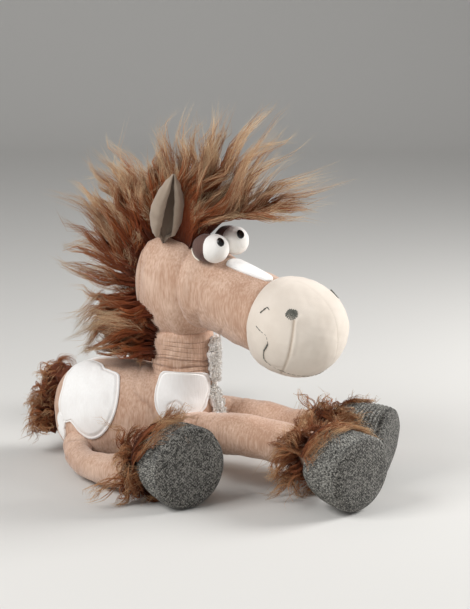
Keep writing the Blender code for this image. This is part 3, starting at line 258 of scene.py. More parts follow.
def new_piece(name: str, points: Array, faces: Sequence[Array], uvs: Optional[Sequence[Array]] = None,
              marks: Optional[dict[str, Array]] = None) -> bpy.types.Object:
    """A smooth-shaded object from whole arrays, its faces turned outwards by the sign of its volume.

    Args:
        name: the piece's name.
        points: array (count, 3).
        faces: arrays of corner numbers, one for each size of face.
        uvs: for each of those arrays, the corners' places on the piece's own map.
        marks: numbers kept at each point under a name.

    Returns:
        The object, at the origin, with its place in its mesh.
    """
    volume = 0.0
    for group in faces:
        a = points[group[:, 0]]
        for k in range(1, group.shape[1] - 1):
            volume += np.einsum("ij,ij->", a, np.cross(points[group[:, k]], points[group[:, k + 1]]))
    if volume < 0:
        faces = [group[:, ::-1] for group in faces]
        uvs = [group[:, ::-1] for group in uvs] if uvs else None
    mesh = bpy.data.meshes.new(name)
    corners = np.concatenate([group.ravel() for group in faces]).astype(np.int32)
    sizes = np.concatenate([np.full(len(group), group.shape[1]) for group in faces])
    starts = np.concatenate([[0], np.cumsum(sizes)[:-1]]).astype(np.int32)
    mesh.vertices.add(len(points))
    mesh.vertices.foreach_set("co", points.astype(np.float32).ravel())
    mesh.loops.add(len(corners))
    mesh.loops.foreach_set("vertex_index", corners)
    mesh.polygons.add(len(sizes))
    mesh.polygons.foreach_set("loop_start", starts)
    if uvs:
        layer = mesh.uv_layers.new(name="own_map")
        layer.data.foreach_set("uv", np.concatenate([g.reshape(-1, 2) for g in uvs]).astype(np.float32).ravel())
    for word, values in (marks or {}).items():
        kept = mesh.attributes.new(word, "FLOAT", "POINT")
        kept.data.foreach_set("value", np.asarray(values, np.float32).ravel())
    mesh.update(calc_edges=True)
    mesh.validate()
    mesh.shade_smooth()
    piece = bpy.data.objects.new(name, mesh)
    bpy.context.scene.collection.objects.link(piece)
    return piece


@dataclass
class Form:
    """A closed stuffed shape: rings of points, each closed round, with a tip at either end."""

    rings: Array
    first: Array
    last: Array

    @staticmethod
    def carried(centres: Array, across: Array, up: Array, widths: Array, heights: Array, power: float, sides: int,
                tips: Optional[tuple[Array, Array]] = None) -> "Form":
        """Squared ellipses carried along a path: centre + across * width * cos + up * height * sin.

        Args:
            centres: middle of each ring.
            across: unit vectors of the rings' first axis.
            up: unit vectors of their second axis.
            widths: half sizes along the first axis.
            heights: half sizes along the second axis.
            power: the section's superellipse power.
            sides: points round each ring.
            tips: the end points, or else the middles of the end rings.

        Returns:
            The closed form.
        """
        c, s = squared_ring(power, sides)
        rings = (centres[:, None] + across[:, None] * (widths[:, None] * c)[..., None]
                 + up[:, None] * (heights[:, None] * s)[..., None])
        first, last = tips or (rings[0].mean(0), rings[-1].mean(0))
        return Form(rings, np.asarray(first, float), np.asarray(last, float))

    @staticmethod
    def forwards(places: Array, start: Sequence[float], widths: Array, heights: Array, power: float, sides: int,
                 tips: Optional[tuple[Array, Array]] = None) -> "Form":
        """Squared ellipses that stand one before the other along the forward axis.

        Args:
            places: how far forward of the start each ring is.
            start: the point that they are measured from.
            widths: half sizes towards the left.
            heights: half sizes upwards.
            power: the section's superellipse power.
            sides: points round each ring.
            tips: the end points, or else the middles of the end rings.

        Returns:
            The closed form.
        """
        count = len(places)
        centres = np.array(start) + np.stack([places, 0 * places, 0 * places], 1)
        return Form.carried(centres, np.tile([0.0, 1.0, 0.0], (count, 1)), np.tile([0.0, 0.0, 1.0], (count, 1)),
                            widths, heights, power, sides, tips)

    def normals(self) -> Array:
        """Which way is out at each point: the cross product of the ways round and along the form.

        Returns:
            Array of unit vectors, shaped like the rings.
        """
        sides = self.rings.shape[1]
        ends = [np.broadcast_to(tip, (1, sides, 3)) for tip in (self.first, self.last)]
        along = np.gradient(np.concatenate([ends[0], self.rings, ends[1]]), axis=0)[1:-1]
        around = np.roll(self.rings, -1, axis=1) - np.roll(self.rings, 1, axis=1)
        out = unit(np.cross(around, along))
        return out * np.sign(np.sum(out * (self.rings - self.rings.mean(1, keepdims=True))))

    def pushed(self, amount: Array) -> "Form":
        """The form with each point moved out by its amount, and the tips by the nearest ring's mean.

        Args:
            amount: how far, shaped like the rings' points.

        Returns:
            The new form.
        """
        out = self.normals()
        ends = [unit(out[k].mean(0)) * amount[k].mean() for k in (0, -1)]
        return Form(self.rings + out * amount[..., None], self.first + ends[0], self.last + ends[1])

    def moved(self, matrix: Array) -> "Form":
        """The form carried by a 4 by 4 matrix."""
        return Form(apply(matrix, self.rings), apply(matrix, self.first), apply(matrix, self.last))

    def on_floor(self, height: float = 0.0003) -> "Form":
        """The form flattened where it rests.

        Args:
            height: the lowest that a point may be.

        Returns:
            The new form.
        """
        rings = self.rings.copy()
        rings[..., 2] = np.maximum(rings[..., 2], height)
        tips = [np.array([tip[0], tip[1], max(tip[2], height)]) for tip in (self.first, self.last)]
        return Form(rings, *tips)

    def piece(self, name: str, marks: Optional[dict[str, Array]] = None,
              plan: Optional[Callable[[Array], Array]] = None) -> bpy.types.Object:
        """The form as an object whose own map runs round it and then along it.

        Args:
            name: the piece's name.
            marks: an array over the rings' points for each name.
            plan: gives each point its place on the map in metres instead.

        Returns:
            The object.
        """
        n, m = self.rings.shape[:2]
        points = np.vstack([self.rings.reshape(-1, 3), self.first, self.last])
        i, j = np.meshgrid(np.arange(n - 1), np.arange(m), indexing="ij")
        k = (j + 1) % m
        quads = np.stack([i * m + j, i * m + k, (i + 1) * m + k, (i + 1) * m + j], -1).reshape(-1, 4)
        u, v = j / m, i / (n - 1)
        du, dv = 1 / m, 1 / (n - 1)
        quad_map = np.stack([np.stack(pair, -1) for pair in ((u, v), (u + du, v), (u + du, v + dv), (u, v + dv))], -2)
        c = np.arange(m)
        d = (c + 1) % m
        fans = np.concatenate([np.stack([np.full(m, n * m), d, c], -1),
                               np.stack([np.full(m, n * m + 1), (n - 1) * m + c, (n - 1) * m + d], -1)])
        low, high = np.zeros(m), np.ones(m)
        fan_map = np.concatenate([
            np.stack([np.stack([(c + 0.5) / m, low], -1), np.stack([(c + 1) / m, low], -1),
                      np.stack([c / m, low], -1)], 1),
            np.stack([np.stack([(c + 0.5) / m, high], -1), np.stack([c / m, high], -1),
                      np.stack([(c + 1) / m, high], -1)], 1)])
        quad_map = quad_map.reshape(-1, 4, 2)
        if plan:
            flat = plan(points)
            quad_map, fan_map = flat[quads], flat[fans]
        kept = {}
        for word, values in (marks or {}).items():
            values = np.broadcast_to(values, (n, m))
            kept[word] = np.concatenate([values.ravel(), [values[0].mean(), values[-1].mean()]])
        return new_piece(name, points, [quads, fans], [quad_map, fan_map], kept)


# Fur


@dataclass(frozen=True)
class Lock:
    """How long pile grows: a lock parts into wisps, and the fibres of a wisp gather to its tip."""

    wisps: int = 6
    fibres: int = 10
    steps: int = 8
    root_spread: float = 0.0050
    tip_spread: float = 0.0110
    curl: float = 0.0020
    pitch: float = 0.040
    wisp_radius: float = 0.0018
    gather: float = 0.12
    stray: float = 0.0012
    thickness: float = 0.00030
    shortest: float = 0.62


def parted(lines: Array, each: int, steps: int, spreads: tuple[float, float], shortest: float,
           rng: np.random.Generator, curl: float = 0.0, pitch: float = 0.02, stray: float = 0.0) -> Array:
    """Parts each line into several: line + side * (r cos a + c cos w) + up * (r sin a + c sin w) + drift.

    The offset r runs from the first spread to the second, w turns once in a pitch, and the drift grows as t^2.

    Args:
        lines: array (count, knots, 3).
        each: how many lines come of one.
        steps: points on each new line.
        spreads: greatest offset at the root and at the tip.
        shortest: least share of the line's length that a new one has.
        rng: random numbers.
        curl: greatest radius of the curl.
        pitch: length of one turn of the curl.
        stray: how far the tips drift.

    Returns:
        Array (count * each, steps, 3).
    """
    count, knots = lines.shape[:2]
    shape = (count, each, 1)
    t = np.linspace(0, 1, steps)
    reached = t * rng.uniform(shortest, 1.0, shape)
    spot = reached * (knots - 1)
    low = np.minimum(spot.astype(int), knots - 2)
    share = (spot - low)[..., None]
    row = np.arange(count)[:, None, None]
    headed = unit(np.gradient(lines, axis=1))
    base = lines[row, low] * (1 - share) + lines[row, low + 1] * share
    ahead = unit(headed[row, low] * (1 - share) + headed[row, low + 1] * share)
    square = unit(np.cross(lines[:, -1] - lines[:, 0], unit(rng.normal(size=(count, 3)))))
    side, up = side_ways(ahead, np.broadcast_to(square[:, None, None], ahead.shape))
    turn = rng.uniform(0, TURN, shape)
    offset = np.sqrt(rng.uniform(0, 1, shape)) * (spreads[0] + (spreads[1] - spreads[0]) * t ** 0.8)
    length = np.linalg.norm(np.diff(lines, axis=1), axis=2).sum(1)[:, None, None]
    wave = TURN * reached * length / (pitch * rng.uniform(0.75, 1.3, shape)) + rng.uniform(0, TURN, shape)
    size = curl * ease(t, 0.05, 0.5) * rng.uniform(0.4, 1.3, shape)
    a = offset * np.cos(turn) + size * np.cos(wave)
    b = offset * np.sin(turn) + size * np.sin(wave)
    drift = rng.normal(0, 1, (count, each, 1, 3)) * (stray * t ** 2)[:, None]
    return (base + side * a[..., None] + up * b[..., None] + drift).reshape(-1, steps, 3)


@dataclass
class Fur:
    """Fibres in one mass, with a tint each."""

    paths: Array
    tints: Array
    thickness: float

    @staticmethod
    def grown(guides: Array, lock: Lock, seed: int) -> "Fur":
        """Fur that follows the guides of its locks.

        Args:
            guides: array (locks, knots, 3).
            lock: how the locks grow.
            seed: picks the fibres.

        Returns:
            The fur.
        """
        rng = np.random.default_rng(seed)
        wisps = parted(guides, lock.wisps, 18, (lock.root_spread, lock.tip_spread), lock.shortest, rng, lock.curl,
                       lock.pitch)
        paths = parted(wisps, lock.fibres, lock.steps, (lock.wisp_radius, lock.wisp_radius * lock.gather), 0.72, rng,
                       0.0003, 0.012, lock.stray)
        tints = (np.repeat(rng.uniform(0, 0.5, len(guides)), lock.wisps * lock.fibres)
                 + np.repeat(rng.uniform(0, 0.3, len(wisps)), lock.fibres) + rng.uniform(0, 0.2, len(paths)))
        return Fur(paths, tints, lock.thickness)

    def with_more(self, other: "Fur") -> "Fur":
        """This fur and the other in one mass."""
        return Fur(np.concatenate([self.paths, other.paths]), np.concatenate([self.tints, other.tints]),
                   self.thickness)

    def put(self, change: Callable[[Array], Array]) -> "Fur":
        """The fur with its points changed by a function of them."""
        return Fur(change(self.paths), self.tints, self.thickness)

    def piece(self, name: str, seed: int) -> bpy.types.Object:
        """Closed tapering fibres of three sides along the paths, in one mesh.

        Args:
            name: the piece's name.
            seed: picks how thick each fibre is.

        Returns:
            The object, whose points carry how far along the fibre they are and the fibre's tint.
        """
        rng = np.random.default_rng(seed)
        fibres, steps = self.paths.shape[:2]
        ahead = unit(np.gradient(self.paths, axis=1))
        square = unit(np.cross(self.paths[:, -1] - self.paths[:, 0], unit(rng.normal(size=(fibres, 3)))))
        side, up = side_ways(ahead, np.broadcast_to(square[:, None], ahead.shape))
        t = np.linspace(0, 1, steps)
        radius = self.thickness * rng.uniform(0.7, 1.25, (fibres, 1)) * (1 - 0.70 * t ** 1.4)[None]
        corner = np.arange(3) * TURN / 3
        rings = (self.paths[:, :-1, None] + (side[:, :-1, None] * np.cos(corner)[:, None] + up[:, :-1, None]
                                             * np.sin(corner)[:, None]) * radius[:, :-1, None, None])
        points = np.concatenate([rings.reshape(fibres, -1, 3), self.paths[:, -1:]], axis=1)
        each = points.shape[1]
        r, c = np.meshgrid(np.arange(steps - 2), np.arange(3), indexing="ij")
        d = (c + 1) % 3
        quads = np.stack([3 * r + c, 3 * r + d, 3 * r + 3 + d, 3 * r + 3 + c], -1).reshape(-1, 4)
        top = 3 * (steps - 2)
        tips = np.array([(top, top + 1, each - 1), (top + 1, top + 2, each - 1), (top + 2, top, each - 1), (0, 2, 1)])
        shift = (np.arange(fibres) * each)[:, None, None]
        along = np.concatenate([np.repeat(t[:-1], 3), [1.0]])
        marks = {"along": np.tile(along, fibres), "tint": np.broadcast_to(self.tints[:, None], (fibres, each))}
        return new_piece(name, points.reshape(-1, 3), [(quads + shift).reshape(-1, 4),
                                                       (tips + shift).reshape(-1, 3)], None, marks)


def bows(roots: Array, ways: Array, tips: Array, rise: float, knots: int = 9) -> Array:
    """Guides that leave the root along its way and bend to the tip: a quadratic Bezier curve each.

    Args:
        roots: array (locks, 3).
        ways: unit vectors that they start along.
        tips: array (locks, 3).
        rise: share of the length that the curve's middle point lies along the way.
        knots: points on each guide.

    Returns:
        Array (locks, knots, 3).
    """
    t = np.linspace(0, 1, knots)[None, :, None]
    length = np.linalg.norm(tips - roots, axis=1, keepdims=True)
    middle = roots + ways * length * rise
    return (1 - t) ** 2 * roots[:, None] + 2 * t * (1 - t) * middle[:, None] + t ** 2 * tips[:, None]


# Finishes


def linear(hex_colour: str) -> tuple[float, float, float, float]:
    """An sRGB hex colour as linear red, green, blue and alpha."""
    channels = [int(hex_colour[i:i + 2], 16) / 255 for i in (1, 3, 5)]
    return (*[c / 12.92 if c <= 0.04045 else ((c + 0.055) / 1.055) ** 2.4 for c in channels], 1.0)


def add(tree: bpy.types.NodeTree, kind: str, into: Optional[dict] = None, stops: Sequence = (),
        **settings: object) -> bpy.types.Node:
    """Adds a node with its settings and links.

    Args:
        tree: the material's nodes.
        kind: the node's type, without its usual first word.
        into: a number, colour or output for each input, by its name or number.
        stops: places and hex colours of a ramp.
        settings: the node's own settings.

    Returns:
        The node.
    """
    made = tree.nodes.new("ShaderNode" + kind)
    for word, value in settings.items():
        setattr(made, word, value)
    for word, value in (into or {}).items():
        if isinstance(value, bpy.types.NodeSocket):
            tree.links.new(value, made.inputs[word])
        else:
            made.inputs[word].default_value = value
    for k, (place, colour) in enumerate(stops):
        stop = made.color_ramp.elements[k] if k < 2 else made.color_ramp.elements.new(place)
        stop.position, stop.color = place, linear(colour)
    return made


def noise(tree: bpy.types.NodeTree, place: bpy.types.NodeSocket, size: float,
          detail: float = 2.0) -> bpy.types.NodeSocket:
    """Random shades whose patches are about as large as the size, at the places given."""
    return add(tree, "TexNoise", {"Vector": place, "Scale": 1 / size, "Detail": detail}).outputs["Fac"]


def ranged(tree: bpy.types.NodeTree, value: bpy.types.NodeSocket, **ends: float) -> bpy.types.NodeSocket:
    """A value carried from one range to another, whose ends are given as From_Min, From_Max, To_Min and To_Max."""
    return add(tree, "MapRange", {"Value": value, **{k.replace("_", " "): v for k, v in ends.items()}}).outputs[0]


def blend(tree: bpy.types.NodeTree, share: Feed, first: Feed, second: Feed,
          kind: str = "MIX") -> bpy.types.NodeSocket:
    """Two colours mixed, or multiplied, by a share of the second."""
    return add(tree, "Mix", {"Factor": share, 6: first, 7: second}, data_type="RGBA", blend_type=kind).outputs[2]


def reckon(tree: bpy.types.NodeTree, kind: str, *values: Feed) -> bpy.types.NodeSocket:
    """One step of arithmetic on numbers or sockets."""
    return add(tree, "Math", dict(enumerate(values)), operation=kind).outputs[0]


def mark(tree: bpy.types.NodeTree, name: str) -> bpy.types.NodeSocket:
    """A number that the piece's points carry under a name."""
    return add(tree, "Attribute", attribute_name=name).outputs["Fac"]


def bumped(tree: bpy.types.NodeTree, shader: bpy.types.Node, height: bpy.types.NodeSocket, strength: float,
           distance: float) -> None:
    """Tilts the shader's surface by a height.

    Args:
        tree: the material's nodes.
        shader: the shader.
        height: the height at each place, in shares of the distance.
        strength: how much of the tilt shows.
        distance: the height of a share of one.
    """
    relief = add(tree, "Bump", {"Height": height, "Strength": strength, "Distance": distance})
    tree.links.new(relief.outputs[0], shader.inputs["Normal"])


@dataclass(frozen=True)
class Finish:
    """A finish: its name, its colour and the plain numbers of its shader."""

    name: str
    colour: str
    roughness: float = 0.9
    sheen: float = 0.0
    specular: float = 0.3

    def material(self) -> bpy.types.Material:
        """The finish's material, made once.

        Returns:
            The material, with its pattern.
        """
        found = bpy.data.materials.get(self.name)
        if found:
            return found
        made = bpy.data.materials.new(self.name)
        made.use_nodes = True
        tree = made.node_tree
        shader = tree.nodes["Principled BSDF"]
        for word, value in {"Base Color": linear(self.colour), "Roughness": self.roughness,
                            "Sheen Weight": self.sheen, "Sheen Roughness": 0.45,
                            "Specular IOR Level": self.specular}.items():
            shader.inputs[word].default_value = value
        self.dress(tree, shader)
        return made

    def dress(self, tree: bpy.types.NodeTree, shader: bpy.types.Node) -> None:
        """Adds the finish's own pattern; a plain finish has none."""


@dataclass(frozen=True)
class Plush(Finish):
    """Short knitted pile, brushed both ways, so that it shows light and dark streaks and a fine grain."""

    light: str = "#D3AE97"
    # deep: the painted shade colour that the crease mark mixes in
    deep: str = "#7A4E3C"
    nap: float = 0.024
    streak: float = 0.0015
    grain: float = 0.0007
    relief: float = 0.0006

    def dress(self, tree: bpy.types.NodeTree, shader: bpy.types.Node) -> None:
        """Streaks and brushed areas mix the light colour in, the crease mark mixes the deep one in as painted shade in
        folds, seams and grooves, and the pile is bumped.

        Args:
            tree: the material's nodes.
            shader: its shader.
        """
        place = add(tree, "TexCoord").outputs["Object"]
        drawn = add(tree, "Mapping", {"Vector": place, "Scale": (1.0, 1.0, 0.15)}).outputs[0]
        brushed = noise(tree, place, self.nap)
        streaks = noise(tree, drawn, self.streak)
        grain = noise(tree, place, self.grain, 3.0)
        both = reckon(tree, "MULTIPLY_ADD", brushed, 0.8, streaks)
        share = ranged(tree, both, From_Min=0.68, From_Max=1.16, To_Max=0.85)
        pale = blend(tree, share, linear(self.colour), linear(self.light))
        # Painted shade: the crease mark darkens folds, seams and grooves towards the deep colour
        sunk = reckon(tree, "MULTIPLY", mark(tree, "crease"), 0.75)
        tree.links.new(blend(tree, sunk, pale, linear(self.deep)), shader.inputs["Base Color"])
        bumped(tree, shader, reckon(tree, "ADD", grain, streaks), 0.55, self.relief)


@dataclass(frozen=True)
class Suede(Finish):
    """Brushed microfibre: soft cloudy shade and a very fine nap."""

    shade: str = "#B9A999"
    cloud: float = 0.012
    nap: float = 0.0005

    def dress(self, tree: bpy.types.NodeTree, shader: bpy.types.Node) -> None:
        """Soft clouds mix the shade in, seams and the inside of folds darken towards it by their crease mark as painted
        shade, and the nap is bumped.

        Args:
            tree: the material's nodes.
            shader: its shader.
        """
        place = add(tree, "TexCoord").outputs["Object"]
        share = ranged(tree, noise(tree, place, self.cloud, 4.0), From_Min=0.4, From_Max=0.8, To_Max=0.28)
        base = blend(tree, share, linear(self.colour), linear(self.shade))
        # Painted shade: the crease mark darkens seams and the inside of folds towards the shade colour
        deep = blend(tree, mark(tree, "crease"), base, linear(self.shade))
        tree.links.new(deep, shader.inputs["Base Color"])
        bumped(tree, shader, noise(tree, place, self.nap), 0.3, 0.0003)


@dataclass(frozen=True)
class Knit(Finish):
    """Melange yarn: dark, middle and pale fibres spun together, so that the stitches are flecked."""

    dark: str = "#3F3F3D"
    pale: str = "#B4B2AA"
    fleck: float = 0.0012
    hair: float = 1 / 900
    stitch_round: float = 70.0
    stitch_rows: float = 22.0

    def dress(self, tree: bpy.types.NodeTree, shader: bpy.types.Node) -> None:
        """Cells of random shade colour the yarn, and slanting stitches along the piece's own map bump it and darken the
        gaps between them with painted shade.

        Args:
            tree: the material's nodes.
            shader: its shader.
        """
        place = add(tree, "TexCoord")
        cells = add(tree, "TexVoronoi", {"Vector": place.outputs["Object"], "Scale": 1 / self.fleck})
        random = add(tree, "SeparateColor", {0: cells.outputs["Color"]}).outputs[0]
        fine = noise(tree, place.outputs["Object"], self.hair)
        both = reckon(tree, "MULTIPLY_ADD", random, 0.55, fine)
        tone = add(tree, "ValToRGB", {0: both}, stops=((0.42, self.dark), (1.05, self.pale), (0.72, self.colour)))
        own = add(tree, "SeparateXYZ", {0: place.outputs["UV"]})
        column = reckon(tree, "MULTIPLY", own.outputs[0], self.stitch_round)
        fold = reckon(tree, "PINGPONG", column, 1.0)
        row = reckon(tree, "MULTIPLY_ADD", own.outputs[1], self.stitch_rows, fold)
        stitch = reckon(tree, "PINGPONG", row, 0.5)
        # Painted shade: the stitches darken the yarn's colour in the gaps between them
        shade = ranged(tree, stitch, From_Max=0.5, To_Min=0.42, To_Max=1.05)
        tree.links.new(blend(tree, 1.0, tone.outputs[0], shade, "MULTIPLY"), shader.inputs["Base Color"])
        bumped(tree, shader, reckon(tree, "MULTIPLY_ADD", stitch, 1.4, fine), 0.7, 0.0007)


@dataclass(frozen=True)
class Pile(Finish):
    """Long acrylic fibres, dyed dark at the root and pale at the tip, each lock a little different."""

    root: str = "#52270F"
    middle: str = "#BE8052"
    tip: str = "#F0DAB2"
    shadow: str = "#6E3820"

    def dress(self, tree: bpy.types.NodeTree, shader: bpy.types.Node) -> None:
        """A ramp along the fibre gives its colour, and its tint mixes the shadow colour in.

        Args:
            tree: the material's nodes.
            shader: its shader.
        """
        ramp = add(tree, "ValToRGB", {0: mark(tree, "along")},
                   stops=((0.0, self.root), (1.0, self.tip), (0.34, self.colour), (0.72, self.middle)))
        share = ranged(tree, mark(tree, "tint"), From_Min=0.35, From_Max=1.0, To_Max=0.75)
        tree.links.new(blend(tree, share, ramp.outputs[0], linear(self.shadow)), shader.inputs["Base Color"])


@dataclass(frozen=True)
class Thread(Finish):
    """Twisted embroidery thread: fine slanting strands and a slight gloss."""

    strand: float = 0.0006

    def dress(self, tree: bpy.types.NodeTree, shader: bpy.types.Node) -> None:
        """Slanting waves a strand apart bump the thread and paint shade into the grooves between strands, with a slight
        painted highlight on their crowns.

        Args:
            tree: the material's nodes.
            shader: its shader.
        """
        place = add(tree, "TexCoord").outputs["Object"]
        wave = add(tree, "TexWave", {"Vector": place, "Scale": 0.3 / self.strand, "Distortion": 1.2},
                   bands_direction="DIAGONAL").outputs["Fac"]
        # Painted shade in the grooves between strands, and a slight painted highlight on their crowns
        shade = ranged(tree, wave, To_Min=0.6, To_Max=1.15)
        tree.links.new(blend(tree, 1.0, linear(self.colour), shade, "MULTIPLY"), shader.inputs["Base Color"])
        bumped(tree, shader, wave, 0.5, 0.0003)


@dataclass(frozen=True)
class Bead(Finish):
    """Moulded glossy plastic: a hard clear reflection with a faint polish haze."""

    haze: float = 1 / 900

    def dress(self, tree: bpy.types.NodeTree, shader: bpy.types.Node) -> None:
        """Polishing leaves the roughness a little uneven.

        Args:
            tree: the material's nodes.
            shader: its shader.
        """
        place = add(tree, "TexCoord").outputs["Object"]
        haze = ranged(tree, noise(tree, place, self.haze), To_Min=0.08, To_Max=0.2)
        tree.links.new(haze, shader.inputs["Roughness"])


# A plush's deep colour, and also a suede's shade colour, are the painted shade that the crease mark mixes in
BODY_PLUSH = Plush("brushed_body_plush", "#BC967E", 0.95, 0.35, 0.2, light="#E0C2AD", deep="#74503E")
WHITE_PLUSH = Plush("white_patch_plush", "#F5F3F0", 0.95, 0.25, 0.2, light="#FBFAF8", deep="#CBB7A8",
                    relief=0.0003)
EYE_PLUSH = Plush("white_eye_plush", "#F2EFE9", 0.9, 0.15, 0.2, light="#F8F6F2", deep="#C9BFB2", relief=0.0003)
LID_PLUSH = Plush("brown_lid_suede", "#57403A", 0.75, 0.2, 0.3, light="#6A4F46", deep="#2E1F1A", relief=0.0002)
MUZZLE_SUEDE = Suede("cream_muzzle_suede", "#E6DBCE", 0.85, 0.25, 0.25, shade="#BFAE9C", cloud=0.020)
EAR_SUEDE = Suede("taupe_ear_suede", "#A69686", 0.9, 0.2, 0.25, shade="#7E6D5F", cloud=0.008)
PIPING_SUEDE = Suede("cream_piping_suede", "#F4ECDD", 0.85, 0.1, 0.25, shade="#DACBB4")
HOOF_KNIT = Knit("melange_hoof_knit", "#7C7A75", 1.0, 0.1, 0.2, stitch_round=110.0, stitch_rows=12.0)
SOLE_KNIT = Knit("melange_sole_knit", "#5F5D59", 1.0, 0.1, 0.2, dark="#2F2E2C", pale="#9A9790", fleck=0.0012,
                 stitch_round=620.0, stitch_rows=400.0)
MANE_PILE = Pile("auburn_long_pile", "#7E3A1C", 0.6, 0.05, 0.15, root="#451C0B", middle="#A55E34")
TAIL_PILE = Pile("auburn_curly_pile", "#8F5232", 0.6, 0.05, 0.15, root="#4A200F", middle="#B17A52", tip="#E3C297")
UNDERFUR = Plush("auburn_underfur", "#5E3424", 0.95, 0.1, 0.2, light="#7A4833", deep="#3A1E13", streak=0.0012)
FLEECE_PILE = Pile("white_fleece_curls", "#F8F3EA", 0.9, 0.9, 0.2, root="#E0D4C4", middle="#F8F4EE", tip="#FCFAF7",
                   shadow="#E4DACD")
GREY_THREAD = Thread("grey_embroidery_thread", "#77776F", 0.7, 0.0, 0.3)
PALE_THREAD = Thread("pale_mouth_thread", "#A39A8C", 0.7, 0.0, 0.3)
PUPIL_BEAD = Bead("black_bead", "#0B0A0A", 0.12, 0.0, 0.6)


def place(piece: bpy.types.Object, finish: Finish, body: str, slot: str, nodes: Sequence[str] = (),
          fill: Optional[float] = None) -> bpy.types.Object:
    """Dresses a piece and puts it on its body.

    Args:
        piece: the finished object.
        finish: what it is made of.
        body: the CAD body that it rides on.
        slot: the record's material slot; not used.
        nodes: the CAD nodes that it stands for.
        fill: how tightly it is stuffed, if it is; not used.

    Returns:
        The piece.
    """
    piece.data.materials.append(finish.material())
    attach(piece, body)
    if nodes:
        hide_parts(*nodes)
    LOG.info("%s: %d faces, %s", piece.name, len(piece.data.polygons), finish.name)
    return piece


# Pieces


# Places on the torso: millimetres along it and degrees from its top, as the right side has them
FLANK_OUTLINE = ((-48.7, 4.8), (-53.9, 4.8), (-56.0, 20.5), (-57.9, 34.8), (-57.9, 51.2), (-59.6, 64.9),
                 (-60.0, 82.7), (-59.6, 97.0), (-57.0, 103.0), (-52.0, 96.0), (-48.5, 92.7), (-42.6, 98.7),
                 (-35.2, 107.8), (-28.1, 110.7), (-20.5, 108.2), (-11.9, 98.9), (-6.0, 88.7), (-2.4, 77.3),
                 (-1.2, 66.5), (-2.2, 50.5), (-5.4, 35.0), (-13.4, 31.7), (-21.8, 27.5), (-29.1, 16.5),
                 (-38.0, 7.6))
STRIP_OUTLINE = ((-60.0, 84.0), (-59.8, 104.9), (-58.6, 119.0), (-55.0, 125.0), (-53.6, 118.0), (-54.2, 106.0),
                 (-55.0, 94.0), (-56.5, 86.0))
SHOULDER_OUTLINE = ((37.3, 23.6), (32.7, 33.1), (30.6, 45.2), (30.8, 57.0), (32.7, 68.0), (36.9, 76.5),
                    (43.6, 80.6), (53.3, 81.0), (62.1, 76.9), (68.6, 60.9), (69.3, 35.4), (66.6, 16.0),
                    (60.0, 8.0), (51.8, 6.0), (45.1, 12.0))
SHOULDER_CURL = ((43.0, 71.5), (42.8, 63.8), (48.1, 57.4), (52.3, 58.6), (54.6, 64.4), (55.4, 72.3))
WITHERS_FOLDS = (((6.0, 8.0), (9.5, 26.0), (11.7, 47.9), (18.2, 59.3), (27.7, 66.5), (36.0, 88.0)),
                 ((9.0, 6.0), (17.0, 10.0), (24.3, 14.0), (33.0, 24.0)))
FOLD_WIDTH = 0.0016
FOLD_DEPTH = 0.0013
SATIN_ROW_DEPTH = 0.0006

# Places on the muzzle's front: degrees aside and above its middle, as the left side has them
MUZZLE_SEAMS = ((((54.0, 30.2), (54.5, 20.5), (55.8, 7.2), (58.0, -7.5), (63.2, -26.2), (74.0, -48.0)), 1.0),
                (((84.0, -0.8), (86.8, -6.0), (91.5, -16.0), (90.0, -29.0), (75.0, -31.0), (64.0, -28.0)), 0.45))
MUZZLE_FOLD = ((47.0, 34.0), (50.5, 28.0), (51.0, 19.0), (51.8, 7.0), (54.0, -6.0))
MUZZLE_SEAM_WIDTH = 0.0010
NOSTRIL_PLACE = (57.5, 37.4)
NOSTRIL_SIZE = 0.0047
SMILE = ((-93.5, -25.8), (-86.0, -32.0), (-60.0, -42.0), (-30.0, -48.0), (0.0, -50.0), (30.0, -48.0),
         (60.0, -42.0), (86.0, -32.0), (93.5, -25.8))
MOUTH_ENDS = {"smile": (((104.8, 14.5), (96.2, 11.2), (88.2, 9.0), (85.0, 3.8), (84.0, -0.8)), 0.00034),
              "mouth_end": (((84.0, -0.8), (86.8, -6.0), (90.0, -11.0)), 0.00075),
              "mouth_tail": (((90.0, -11.0), (92.2, -18.2), (93.5, -25.8)), 0.00042),
              "mouth_corner": (((106.0, 29.8), (102.8, 34.8), (99.2, 39.0), (93.5, 37.5)), 0.00048)}
SMILE_RADIUS = 0.00040
SMILE_STITCH = 0.0042
END_STITCH = 0.0034


